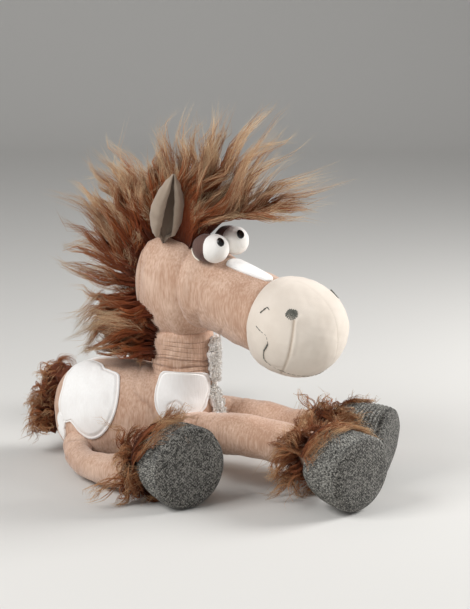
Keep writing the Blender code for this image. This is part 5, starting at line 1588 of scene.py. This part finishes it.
@dataclass
class Mane:
    """Long pile along the midline: on the head as three runs of locks, and behind the neck.

    The spread has, for each angle about the hub in its first row, the rim of the long locks, the rim of the dense
    mass and the tips' lean to the left, in millimetres, and last the angle at which such a lock has its root.
    """

    hub: float = 0.030
    inner: float = 0.014
    width: float = 0.035
    flare: float = 0.4
    spread: tuple[tuple[float, ...], ...] = (
        (17, 30, 45, 60, 75, 90, 104, 114, 124, 140, 156, 170, 184, 198, 210, 224),
        (137, 158, 163, 163, 150, 138, 118, 96, 114, 132, 130, 138, 148, 157, 152, 130),
        (92, 106, 110, 109, 97, 91, 87, 80, 95, 110, 103, 101, 109, 117, 116, 104),
        (34, 38, 36, 22, 8, 2, 0, 0, 0, -4, -6, -8, -8, -8, -8, -6),
        (56, 59, 66, 75, 84, 93, 103, 112, 122, 137, 152, 165, 178, 190, 201, 213))
    clumps: int = 24
    top: float = 0.3130
    pressed: float = 0.36
    eye_gap: float = 0.0150
    long_locks: int = 42
    short_locks: int = 48
    neck_locks: int = 36
    neck_reach: float = 0.088
    withers: float = 0.0925
    under_head: float = 0.1500
    knots: int = 14
    brow: tuple[tuple[float, ...], ...] = ((0.014, 0.024, 0.036, 0.050, 0.070, 0.100, 0.140),
                                           (0.040, 0.0560, 0.0690, 0.0755, 0.0810, 0.0830, 0.0780))
    long_lock: Lock = Lock(7, 9, 7, 0.0050, 0.0034, 0.0022, 0.042, 0.0021, 0.10, 0.0010, shortest=0.66)
    short_lock: Lock = Lock(6, 7, 7, 0.0062, 0.0052, 0.0036, 0.032, 0.0021, 0.16, 0.0018, shortest=0.80)

    def half_width(self, radius: Array, outer: Array) -> Array:
        """Half width of the mass at a distance from its hub: w * cos * (1 + flare * sin) of a section ellipse.

        Args:
            radius: the distance.
            outer: the mass's rim there.

        Returns:
            Half widths.
        """
        s = np.clip((radius - (outer + self.inner) / 2) / ((outer - self.inner) / 2), -0.97, 0.97)
        return self.width / 2 * np.sqrt(1 - s ** 2) * (1 + self.flare * s)

    def under_top(self, points: Array) -> Array:
        """Fibres that stand higher than the mass's top, pressed down by a share of what they pass it by."""
        points[..., 2] -= self.pressed * np.maximum(points[..., 2] - self.top, 0)
        return points

    def clear_of_face(self, points: Array) -> Array:
        """Fibres moved out of the eyes, over the brow, and towards the midline where they would cover an ear.

        Args:
            points: fibres in the head's own axes.

        Returns:
            The fibres, moved.
        """
        head = Head()
        for side in Side:
            eye = np.array(head.eye_place) * (1, side.value, 1)
            away = points - eye
            gap = np.linalg.norm(away, axis=-1, keepdims=True)
            points = eye + away * np.maximum(1, self.eye_gap / np.maximum(gap, 1e-6))
        brow = np.interp(points[..., 0], *self.brow) + wander(points, 0.012, 79) * 0.0030
        under = (points[..., 0] > 0.016) & (points[..., 2] < brow)
        points[..., 2] = np.where(under, brow + 0.12 * (brow - points[..., 2]), points[..., 2])
        rise = (points[..., 2] - 0.038) / 0.076
        along = np.abs(points[..., 0] - (-0.002 + 0.26 * (points[..., 2] - 0.040)))
        near = (1 - ease(along, 0.016, 0.026)) * ease(rise, -0.1, 0.05) * (1 - ease(rise, 0.95, 1.15))
        most = np.interp(rise, (0.0, 0.25, 0.6, 1.0), (0.0090, 0.0090, 0.0120, 0.0200))
        kept = np.sign(points[..., 1]) * np.minimum(np.abs(points[..., 1]), most)
        points[..., 1] = points[..., 1] * (1 - near) + kept * near
        return points

    def spread_at(self, row: int, angle: Array) -> Array:
        """One row of the mane's spread at angles about the hub, in metres where it is a length."""
        return np.interp(angle, self.spread[0], self.spread[row]) * (0.001 if row < 4 else 1.0)

    def fan(self, angle: Array, aside: Array, far: Array, tip_side: Array, seed: int, sway: float) -> Array:
        """Lines from the skull to places in the mane's fan, swayed more and more towards their tips.

        Args:
            angle: angle of each tip about the hub, in degrees.
            aside: share of the roots' half width.
            far: its tip's distance from the hub.
            tip_side: its tip's distance from the midline.
            seed: picks the sway.
            sway: how far the tips sway.

        Returns:
            Array (count, knots, 3) in the head's own axes.
        """
        root_angle, tip_angle = np.radians(self.spread_at(4, angle)), np.radians(angle)
        ways = unit(np.stack([np.cos(root_angle), aside * 0.30, np.sin(root_angle)], 1))
        roots = Head().surface(ways) - ways * 0.0015
        tips = np.stack([np.cos(tip_angle) * far, tip_side, self.hub + np.sin(tip_angle) * far], 1)
        return swayed(bows(roots, ways, tips, 0.36, self.knots), 0.050, seed, sway)

    def long_guides(self, count: int, first: float, last: float, seed: int) -> Array:
        """Locks that gather in clumps and reach out to the mane's rim.

        Args:
            count: how many locks.
            first: the run's first angle about the hub.
            last: its last angle.
            seed: picks them.

        Returns:
            Array (count, knots, 3) in the head's own axes.
        """
        rng = np.random.default_rng(seed)
        angle = rng.uniform(first, last, count)
        step = (self.spread[0][-1] - self.spread[0][0]) / self.clumps
        clump = self.spread[0][0] + (np.floor((angle - self.spread[0][0]) / step) + 0.5) * step
        angle = angle + (clump - angle) * 0.75 + rng.normal(0, 1.2, count)
        far = self.spread_at(1, angle) * rng.uniform(0.86, 1.12, count)
        aside = rng.uniform(-1, 1, count)
        tip_side = self.spread_at(3, angle) + aside * 0.020 + rng.normal(0, 0.003, count)
        return self.fan(angle, aside, far, tip_side, seed, 0.020)

    def short_guides(self, count: int, first: float, last: float, seed: int) -> Array:
        """Fluffy locks whose tips lie all over the dense mass's own surface.

        Args:
            count: how many locks.
            first: the run's first angle about the hub.
            last: its last angle.
            seed: picks them.

        Returns:
            Array (count, knots, 3) in the head's own axes.
        """
        rng = np.random.default_rng(seed)
        angle = rng.uniform(first, last, count)
        outer = self.spread_at(2, angle)
        phase = np.radians(rng.uniform(-40, 90, count))
        far = (outer + self.inner) / 2 + (outer - self.inner) / 2 * np.sin(phase)
        sign = np.sign(rng.uniform(-1, 1, count))
        tip_side = (self.spread_at(3, angle) * far / outer * 0.7
                    + sign * (self.half_width(far, outer) + 0.0025))
        return self.fan(angle + rng.normal(0, 3.0, count), sign * rng.uniform(0.3, 1.0, count), far * 1.04, tip_side,
                        seed, 0.010)

    def build_head_fur(self) -> None:
        """Three runs of locks, from the forelock over the crest to the nape."""
        parts = (("forelock", 17.0, 72.0), ("crest", 64.0, 140.0), ("nape", 130.0, 224.0))
        for k, (word, first, last) in enumerate(parts):
            long = self.long_guides(self.long_locks, first, last, 100 + 10 * k)
            short = self.short_guides(self.short_locks, first, last, 140 + 10 * k)
            fur = Fur.grown(long, self.long_lock, 200 + k).with_more(Fur.grown(short, self.short_lock, 230 + k))
            fur = fur.put(self.clear_of_face).put(lambda points: apply(HEAD_PLACE, points)).put(self.under_top)
            place(fur.piece(f"mane_{word}", 300 + k), MANE_PILE, "head_group", "mane", ["head_mane"])

    def build_underfur(self) -> None:
        """The dense low pile that the locks stand in, a rough ridge over the skull."""
        angles = np.radians(np.linspace(60, 208, 90))
        ways = np.stack([np.cos(angles), 0 * angles, np.sin(angles)], 1)
        base = Head().surface(ways)
        swell = np.sin(np.linspace(0.25, math.pi - 0.25, 90)) ** 0.6
        height = 0.020 * swell
        centres = base + ways * (height * 0.5)[:, None]
        form = Form.carried(centres, np.tile([0.0, 1.0, 0.0], (90, 1)), ways, 0.0115 * swell, height * 0.75 + 0.002,
                            2.2, 90)
        form = form.pushed(wander(form.rings, 0.005, 81) * 0.0022 + wander(form.rings, 0.0022, 82) * 0.0008)
        form = form.moved(HEAD_PLACE)
        place(form.piece("mane_underfur", SMOOTH), UNDERFUR, "head_group", "mane")

    def neck_guides(self, count: int, shares: tuple[float, float], drop: float, seed: int) -> Array:
        """Lines of locks from the rear of the neck, back and down over the withers.

        Args:
            count: how many locks.
            shares: least and greatest share of the mass's reach.
            drop: how far the tips sink.
            seed: picks them.

        Returns:
            Array (count, knots, 3).
        """
        rng = np.random.default_rng(seed)
        neck = Neck()
        height = rng.uniform(0.099, 0.147, count)
        turn = math.pi + rng.uniform(-0.95, 0.95, count)
        ways = unit(np.stack([np.cos(turn), np.sin(turn), np.full(count, 0.35)], 1))
        roots = np.stack([neck.forward + np.cos(turn) * neck.radius * 0.94, np.sin(turn) * neck.radius * 0.94,
                          height], 1)
        reach = np.interp(height, np.linspace(0.101, 0.148, 5), (0.56, 0.76, 0.90, 0.98, 1.00)) * self.neck_reach
        far = reach * rng.uniform(*shares, count)
        tips = np.stack([neck.forward - neck.radius - far, np.sin(turn) * 0.024 + rng.normal(0, 0.003, count),
                         height - drop * rng.uniform(0.2, 1.0, count)], 1)
        return swayed(bows(roots, ways, tips, 0.40, self.knots), 0.045, seed, 0.022)

    def build_neck_fur(self) -> None:
        """Locks that hang back from the rear of the neck over the withers."""
        fur = Fur.grown(self.neck_guides(self.neck_locks, (0.72, 1.12), 0.046, 91), self.long_lock, 92)
        fur = fur.with_more(Fur.grown(self.neck_guides(self.short_locks, (0.10, 0.75), 0.050, 94),
                                      self.short_lock, 95))

        def kept_level(points: Array) -> Array:
            """Fibres held between the withers and the turning head.

            Args:
                points: the fibres.

            Returns:
                The fibres, moved.
            """
            z = points[..., 2]
            floor = self.withers + 0.0045 * (1 + wander(points, 0.014, 96))
            pressed = np.maximum(z - self.under_head, 0) * 0.9
            points[..., 2] = floor + 0.5 * (z - floor + np.hypot(z - floor, 0.008)) - pressed
            return points

        place(fur.put(kept_level).piece("neck_mane_fur", 93), MANE_PILE, "neck_stalk", "mane", ["neck_mane"])

    def build(self) -> None:
        """All of the mane."""
        self.build_underfur()
        self.build_head_fur()
        self.build_neck_fur()


@dataclass
class Tail:
    """A tassel of curly pile behind the rump."""

    root: tuple[float, float, float] = (-0.0648, 0.0, 0.07075)
    radius: float = 0.0190
    back: float = 0.0225
    locks: int = 64
    lock: Lock = Lock(5, 5, 12, 0.0030, 0.0040, 0.0062, 0.026, 0.0014, 0.2, 0.0015, shortest=0.7)

    def build(self) -> None:
        """Locks from a core that hangs behind the rump, each curling as it droops."""
        rng = np.random.default_rng(401)
        count = self.locks
        root = np.array(self.root)
        drop = rng.uniform(0, 1, count) ** 0.8
        core = root + np.stack([-self.back * (0.35 + 0.6 * np.sqrt(drop)), rng.normal(0, 0.003, count),
                                0.010 - 0.058 * drop], 1)
        turn = rng.uniform(0, TURN, count)
        ways = unit(np.stack([-0.55 + np.cos(turn), 1.2 * np.sin(turn), 0.35 - 0.3 * drop], 1))
        ways[:, 0] = np.minimum(ways[:, 0], 0.15)
        size = self.radius * rng.uniform(0.70, 1.40, (count, 1))
        tips = core + ways * size + np.stack([np.zeros(count), np.zeros(count), -0.022 * rng.uniform(0.2, 1, count)], 1)
        lines = bows(core, unit(ways + (0, 0, 0.5)), tips, 0.7, 12)
        fur = Fur.grown(lines, self.lock, 402).put(self.clear)
        place(fur.piece("tail_fur", 403), TAIL_PILE, "tail_tassel", "mane", ["tail"])
        stem = np.linspace(0, 1, 60)
        centres = through([root + (0.004, 0, 0), root + (-0.014, 0, 0.002), root + (-0.021, 0, -0.020),
                           root + (-0.022, 0, -0.052)], 60)
        ahead = unit(np.gradient(centres, axis=0))
        size = 0.0085 * (1 - 0.25 * stem)
        form = Form.carried(centres, np.tile([0.0, 1.0, 0.0], (60, 1)), np.cross(ahead, [0.0, 1.0, 0.0]), size, size,
                            2.0, 50)
        form = form.pushed(wander(form.rings, 0.004, 404) * 0.0016)
        place(form.piece("tail_core", SMOOTH), UNDERFUR, "tail_tassel", "mane")

    def clear(self, points: Array) -> Array:
        """Fibres kept over the floor and behind the rump, whose rear is the torso's superellipse.

        Args:
            points: the fibres.

        Returns:
            The fibres, moved.
        """
        torso = Torso()
        points[..., 2] = np.maximum(points[..., 2], 0.0012)
        up = np.clip(np.abs(points[..., 2] - torso.middle) / (torso.height / 2), 0, 0.98)
        rump = -torso.length / 2 * (1 - up ** torso.power) ** (1 / torso.power) - 0.0015
        inside = (np.abs(points[..., 1]) < 0.036) & (points[..., 2] < 0.088)
        points[..., 0] = np.where(inside, np.minimum(points[..., 0], rump), points[..., 0])
        return points


@dataclass
class Leg:
    """One leg: a stuffed tube, the fur round its ankle, and its knitted hoof with a sole."""

    kind: Limb
    side: Side
    route: Sequence
    axis: Sequence[float]
    leg_radius: float
    shares: Sequence[float]
    root_ball: float
    hoof_radius: float
    hoof_length: float
    seed: int
    ankle: float = 0.0140
    sole: float = 0.0055
    locks: int = 76
    trails: int = 5
    cap_rings: int = 14
    fold_pitch: float = 0.0085
    fold_depth: float = 0.0012
    rib_pitch: float = 0.0034
    rib_height: float = 0.00055
    cleft_depth: float = 0.0075
    sole_rim: float = 0.965
    tube_floor: float = 0.0006
    hoof_floor: float = 0.0004
    floor_gap: float = 0.0008
    lock: Lock = Lock(5, 5, 10, 0.0036, 0.0032, 0.0036, 0.026, 0.0016, 0.15, 0.0014, shortest=0.7)

    @property
    def word(self) -> str:
        """The kind and the side, as the CAD nodes have them."""
        return f"{self.kind.value}_{{}}_{self.side.word}"

    def node(self, part: str) -> str:
        """The CAD node of one of the leg's parts."""
        return self.word.format(part)

    def body(self, part: str) -> str:
        """The CAD body of the leg's limb or foot."""
        return f"{self.kind.value}_{part}_{self.side.word}"

    def hoof_frame(self) -> Array:
        """A frame at the ankle whose X runs along the hoof, with Z as near upright as it can.

        Returns:
            The 4 by 4 matrix.
        """
        ahead = unit(np.array(self.axis))
        across = unit(np.cross((0, 0, 1), ahead))
        made = np.eye(4)
        made[:3, :3] = np.stack([ahead, across, np.cross(ahead, across)], 1)
        made[:3, 3] = self.route[-1]
        return made

    def build_tube(self) -> None:
        """The leg with ring folds near its ends, each end a ball."""
        count = 110
        places = even_path(self.route, count)
        ahead = unit(np.gradient(places, axis=0))
        side, up = side_ways(ahead, np.tile([0.0, 0.0, 1.0], (count, 1)))
        shares = (self.root_ball / self.leg_radius, *self.shares, self.ankle / self.leg_radius)
        radii = through(shares, count)[:, 0] * self.leg_radius
        rings = self.cap_rings
        cap = np.linspace(0, math.pi / 2, rings + 2)[1:-1]
        first = places[0] - np.outer(np.cos(cap) * self.root_ball, ahead[0])
        last = places[-1] + np.outer(np.cos(cap[::-1]) * self.ankle, ahead[-1])
        centres = np.vstack([first, places, last])
        radius = np.concatenate([np.sin(cap) * self.root_ball, radii, np.sin(cap[::-1]) * self.ankle])
        across, upward = (np.vstack([np.tile(way[0], (rings, 1)), way, np.tile(way[-1], (rings, 1))])
                          for way in (side, up))
        tips = (places[0] - ahead[0] * self.root_ball, places[-1] + ahead[-1] * self.ankle)
        form = Form.carried(centres, across, upward, radius, radius, 2.0, 84, tips)
        run = np.concatenate([np.zeros(rings), np.linspace(0, 1, count), np.ones(rings)])[:, None]
        length = np.linalg.norm(np.diff(places, axis=0), axis=1).sum()
        phase = run * length / self.fold_pitch + wander(form.rings, 0.030, self.seed) * 0.9
        strength = (1 - ease(run, 0.10, 0.42)) + ease(run, 0.62, 0.9)
        strength = strength * (0.35 + 0.65 * ease(wander(form.rings, 0.020, self.seed + 1), -0.3, 0.4))
        crease = bump(np.sin(math.pi * phase), 0.32) * strength
        crease = crease * ease(run, 0.02, 0.10) * (1 - ease(run, 0.97, 1.0))
        lumps = wander(form.rings, 0.022, self.seed + 2) * 0.0008
        form = form.pushed(lumps - self.fold_depth * crease).on_floor(self.tube_floor)
        # Painted shade: the crease mark darkens the ring folds
        place(form.piece(f"{self.node('leg')}_plush", {"crease": crease * 0.55}), BODY_PLUSH, self.body("limb"),
              "plush", [self.node("leg")], 0.8)

    def build_hoof(self) -> None:
        """The knitted hoof, ribbed round its girth, and the domed sole that closes it."""
        start = -self.ankle * 0.3
        span = self.hoof_length - self.sole - start
        along = np.linspace(0, 1, 120)
        profile = np.interp(along, (0.0, 0.05, 0.2, 0.45, 0.72, 0.93, 1.0),
                            (0.60, 0.74, 0.87, 0.95, 1.0, 1.0, self.sole_rim))
        profile = smoothed(profile, 13, False)
        x = start + span * along
        frame_of = self.hoof_frame()
        radii = profile * self.hoof_radius
        form = Form.forwards(x, (0, 0, 0), radii, radii, 2.0, 120)
        drift = wander(form.rings, 0.040, self.seed + 5) * 0.0012
        rib = np.cos(TURN * (form.rings[..., 0] + drift) / self.rib_pitch)
        edge = ease(form.rings[..., 0], x[-1] - 0.0035, x[-1])
        lumps = wander(form.rings, 0.030, self.seed + 6) * 0.0010
        cleft = np.zeros(form.rings.shape[:2])
        if self.kind is Limb.HIND:
            middle = 152.0 if self.side is Side.RIGHT else 28.0
            bearing = np.degrees(np.arctan2(form.rings[..., 2], form.rings[..., 1]))
            cleft = bump(bearing - middle, 9.0) * ease(form.rings[..., 0], -0.004, 0.008)
            cleft = cleft * (0.55 + 0.45 * bump(form.rings[..., 0] - 0.0310, 0.0045))
        form = form.pushed(lumps + self.rib_height * rib * (1 - edge) - 0.0016 * edge ** 2 - 0.0005
                           - self.cleft_depth * cleft)
        form = form.moved(frame_of).on_floor(self.hoof_floor)
        place(form.piece(f"{self.node('hoof')}_knit"), HOOF_KNIT, self.body("foot"), "knit", [self.node("hoof")], 0.8)
        back = self.hoof_length - self.sole - 0.0002
        rho = np.concatenate([np.sqrt(np.linspace(0.001, 1, 44)), [0.985, 0.9]])
        dome = back + 0.0004 + self.sole * (1 - rho ** 3.2) ** 0.5
        dome[-2:] = (back - 0.0015, back - 0.0022)
        radii = rho * self.hoof_radius * self.sole_rim
        form = Form.forwards(dome, (0, 0, 0), radii, radii, 2.0, 110,
                             ((back + 0.0004 + self.sole, 0, 0), (back - 0.0022, 0, 0)))
        lumps = wander(form.rings, 0.025, self.seed + 7) * 0.0008 * (1 - rho[:, None] ** 4)
        form = form.pushed(np.where(rho[:, None] < 0.99, lumps, 0.0)).moved(frame_of).on_floor(self.hoof_floor)

        def flat(points: Array) -> Array:
            """Places across the sole and up it."""
            return ((points - frame_of[:3, 3]) @ frame_of[:3, :3])[:, 1:]

        place(form.piece(f"{self.node('sole')}_knit", None, flat), SOLE_KNIT, self.body("foot"), "melange",
              [self.node("sole")], 0.8)

    def clear_of_hoof(self, points: Array) -> Array:
        """Fibres kept outside the hoof and over the floor.

        Args:
            points: fibres in the row frame.

        Returns:
            The fibres, moved.
        """
        frame_of = self.hoof_frame()
        local = (points - frame_of[:3, 3]) @ frame_of[:3, :3]
        away = np.hypot(local[..., 1], local[..., 2])
        share = (local[..., 0] + 0.0042) / (self.hoof_length + 0.0042)
        skin = np.interp(share, (-0.3, -0.05, 0.05, 0.2, 0.45, 0.72, 0.95, 1.05),
                         (0.45, 0.50, 0.76, 0.89, 0.97, 1.02, 1.02, 0.0)) * self.hoof_radius + 0.0004
        rise = local[..., 2] / self.hoof_radius
        behind = (0.013 if self.kind is Limb.FORE else 0.007) + 0.032 * ease(rise, -0.1, 0.7)
        past = np.maximum(local[..., 0] - behind, 0)
        local[..., 0] -= past * 0.88 * (1 - ease(rise, 0.5, 0.8))
        grown = np.where(away < skin, (skin + 0.28 * (skin - away)) / np.maximum(away, 1e-5), 1.0)
        local[..., 1:] = local[..., 1:] * grown[..., None]
        points = apply(frame_of, local)
        sunk = self.floor_gap - points[..., 2]
        points[..., 2] = np.where(sunk > 0, self.floor_gap + 0.12 * sunk, points[..., 2])
        return points

    def build_cuff(self) -> None:
        """Long curly fur round the ankle: some over the hoof, most falling back and down."""
        rng = np.random.default_rng(self.seed + 10)
        count, size = self.locks, self.hoof_radius
        frame_of = self.hoof_frame()
        over = rng.uniform(0, 1, count) < 0.38
        turn = np.where(over, rng.normal(math.pi / 2, 0.8, count), (rng.permutation(count) + 0.5) * TURN / count)
        station = np.where(over, rng.uniform(-0.45, 0.05, count), rng.uniform(-0.85, -0.20, count)) * size
        path = even_path(self.route, 200)
        spot = np.clip(199 + station / np.linalg.norm(path[1] - path[0]), 0, 199).astype(int)
        runs = unit(np.gradient(path, axis=0))
        side, up = side_ways(runs, np.tile([0.0, 0.0, 1.0], (200, 1)))
        ring = side[spot] * np.cos(turn)[:, None] + up[spot] * np.sin(turn)[:, None]
        ahead = runs[spot]
        roots = path[spot] + ring * self.ankle * 0.85
        lean = np.where(over, rng.uniform(1.2, 2.2, count), rng.uniform(-1.1, 0.1, count))[:, None]
        ways = unit(ring + ahead * lean * 0.3)
        far = size * np.where(over, rng.uniform(0.95, 1.60, count), rng.uniform(0.60, 1.25, count))[:, None]
        tips = roots + unit(ring * np.where(over, 0.75, 1.0)[:, None] + ahead * lean) * far
        tips[:, 2] -= np.where(over, 0.006, 0.024) * rng.uniform(0.2, 1.0, count)
        trailing = np.arange(count) < self.trails
        back = (-frame_of[:3, 0] * rng.uniform(0.5, 1.1, (count, 1))
                + frame_of[:3, 1] * rng.uniform(-0.7, 0.7, (count, 1)))
        resting = frame_of[:3, 3] + unit(back * (1, 1, 0)) * size * rng.uniform(1.2, 2.2, (count, 1))
        resting[:, 2] = 0.0015
        tips = np.where(trailing[:, None], resting, tips)
        sway = np.where(trailing, 0.020, 0.013)[:, None, None]
        lines = swayed(bows(roots, ways, tips, 0.55, 14), 0.034, self.seed + 11, sway)
        fur = Fur.grown(lines, self.lock, self.seed + 14).put(self.clear_of_hoof)
        place(fur.piece(f"{self.node('cuff')}_fur", self.seed + 15), TAIL_PILE, self.body("foot"), "mane",
              [self.node("cuff")])

    def build(self) -> None:
        """The leg's pieces."""
        self.build_tube()
        self.build_hoof()
        self.build_cuff()


# Where the legs leave the torso, on its left side, and the way of each kind of leg from there
SHOULDER, HIP = (0.062, 0.031, 0.043), (-0.042, 0.035, 0.020)
FORE_RIGHT_ROUTE = ((0, 0, 0), (0.032, -0.008, 0.003), (0.058, -0.013, 0.004), (0.088, -0.015, 0.001),
                    (0.112, -0.018, -0.002), (0.127, -0.025, -0.005))
FORE_LEFT_ROUTE = ((0, 0, 0), (0.032, -0.001, -0.003), (0.062, -0.003, -0.006), (0.090, -0.008, -0.006),
                   (0.106, -0.011, -0.005), (0.118, -0.013, -0.005))
HIND_ROUTE = ((0, 0, 0), (0.009, -0.017, -0.004), (0.032, -0.038, -0.0045), (0.065, -0.054, -0.001),
              (0.087, -0.056, 0.0065), (0.103, -0.052, 0.0145))
HIND_AXIS = (0.820, -0.570, 0.0)
HIND_LEFT_SWING = 63.0
# Leg radius, its shares along the leg, root ball, hoof radius and hoof length
FORE_SIZES = (0.0172, (0.97, 1.02, 1.0, 0.96), 0.0150, 0.0325, 0.046)
HIND_SIZES = (0.0142, (0.80, 0.86, 0.98, 1.02), 0.0125, 0.0345, 0.042)


def legs() -> list[Leg]:
    """The four legs with their routes, in the row frame.

    Returns:
        The legs.
    """
    mirror = (1, -1, 1)
    shoulder, hip, hind = np.array(SHOULDER), np.array(HIP), np.array(HIND_ROUTE)
    swing = np.array(Matrix.Rotation(math.radians(HIND_LEFT_SWING), 3, "Z"))
    return [Leg(Limb.FORE, Side.RIGHT, np.array(FORE_RIGHT_ROUTE) + shoulder * mirror, (0.885, -0.450, -0.120),
                *FORE_SIZES, 500),
            Leg(Limb.FORE, Side.LEFT, np.array(FORE_LEFT_ROUTE) + shoulder, (0.985, -0.050, -0.120),
                *FORE_SIZES, 540),
            Leg(Limb.HIND, Side.RIGHT, hind + hip * mirror, HIND_AXIS, *HIND_SIZES, 580),
            Leg(Limb.HIND, Side.LEFT, (hind * mirror) @ swing.T + hip,
                tuple(swing @ (np.array(HIND_AXIS) * mirror)), *HIND_SIZES, 620)]


@dataclass
class Studio:
    """The pale floor, the soft lamps and the camera."""

    azimuth: float = 20.0
    elevation: float = 12.0
    distance: float = 1.5
    target: tuple[float, float, float] = (0.091, 0.0, 0.148)
    pixels_per_unit: float = 1764.7
    picture_height: int = 609
    sensor: float = 36.0
    sky: float = 0.36
    lamps: tuple[tuple, ...] = (("key_light", (-0.70, -1.00, 1.20), 19.0, 0.8),
                                ("rim_light", (1.10, 0.60, 0.75), 18.0, 0.6),
                                ("fill_light", (1.2, -1.3, 0.7), 2.0, 1.2))

    def build_floor(self) -> None:
        """A sweep that runs level and then curves up far behind."""
        run = np.concatenate([np.linspace(-4, 2.2, 20), 2.2 + 0.8 * np.sin(np.linspace(0.1, math.pi / 2, 14)),
                              np.full(4, 3.0)])
        rise = np.concatenate([np.zeros(20), 0.8 - 0.8 * np.cos(np.linspace(0.1, math.pi / 2, 14)),
                               np.linspace(1.2, 3.5, 4)])
        back = -self.toward()
        back[2] = 0
        back = unit(back)
        aside = np.cross(back, (0, 0, 1.0))
        reach = np.linspace(-4, 4, 9)
        points = (back * run[:, None, None] + np.array([0, 0, 1.0]) * rise[:, None, None]
                  + aside * reach[None, :, None]).reshape(-1, 3)
        i, j = np.meshgrid(np.arange(len(run) - 1), np.arange(8), indexing="ij")
        corner = i * 9 + j
        faces = np.stack([corner, corner + 1, corner + 10, corner + 9], -1).reshape(-1, 4)
        floor = new_piece("floor", points, [faces])
        floor.data.materials.append(Finish("pale_floor", "#D8D6D2", 0.9, 0.0, 0.1).material())

    def toward(self) -> Array:
        """The way to the camera.

        Returns:
            Unit vector from the target to it.
        """
        a, e = math.radians(self.azimuth), math.radians(self.elevation)
        return np.array([math.sin(a) * math.cos(e), -math.cos(a) * math.cos(e), math.sin(e)])

    def build_camera(self) -> None:
        """A long lens at the photograph's viewing angle."""
        lens = bpy.data.cameras.new("camera")
        lens.sensor_fit = "VERTICAL"
        lens.sensor_height = self.sensor
        lens.lens = self.pixels_per_unit * self.sensor / self.picture_height
        camera = bpy.data.objects.new("camera", lens)
        bpy.context.scene.collection.objects.link(camera)
        camera.location = Vector(np.array(self.target) + self.toward() * self.distance)
        camera.rotation_euler = Vector(-self.toward()).to_track_quat("-Z", "Y").to_euler()
        bpy.context.scene.camera = camera

    def lamp(self, name: str, spot: Sequence[float], watts: float, size: float) -> None:
        """A square soft box that faces the horse.

        Args:
            name: the lamp's name.
            spot: where it hangs.
            watts: its power.
            size: its side.
        """
        light = bpy.data.lights.new(name, "AREA")
        light.energy, light.size = watts, size
        made = bpy.data.objects.new(name, light)
        bpy.context.scene.collection.objects.link(made)
        made.location = spot
        made.rotation_euler = (Vector(self.target) - Vector(spot)).to_track_quat("-Z", "Y").to_euler()

    def build(self) -> None:
        """Floor, lamps, world and camera."""
        self.build_floor()
        for name, spot, watts, size in self.lamps:
            self.lamp(name, spot, watts, size)
        world = bpy.data.worlds.new("studio")
        world.use_nodes = True
        world.node_tree.nodes["Background"].inputs["Color"].default_value = linear("#F2F3F5")
        world.node_tree.nodes["Background"].inputs["Strength"].default_value = self.sky
        bpy.context.scene.world = world
        bpy.context.scene.view_settings.view_transform = "Standard"
        self.build_camera()


def main() -> None:
    """Builds the horse piece by piece, and then the studio."""
    logging.basicConfig(level=logging.INFO, format="%(name)s: %(message)s")
    Torso().build()
    Fleece().build()
    Neck().build()
    Head().build()
    Mane().build()
    Tail().build()
    for leg in legs():
        leg.build()
    Studio().build()


if __name__ == "__main__":
    main()
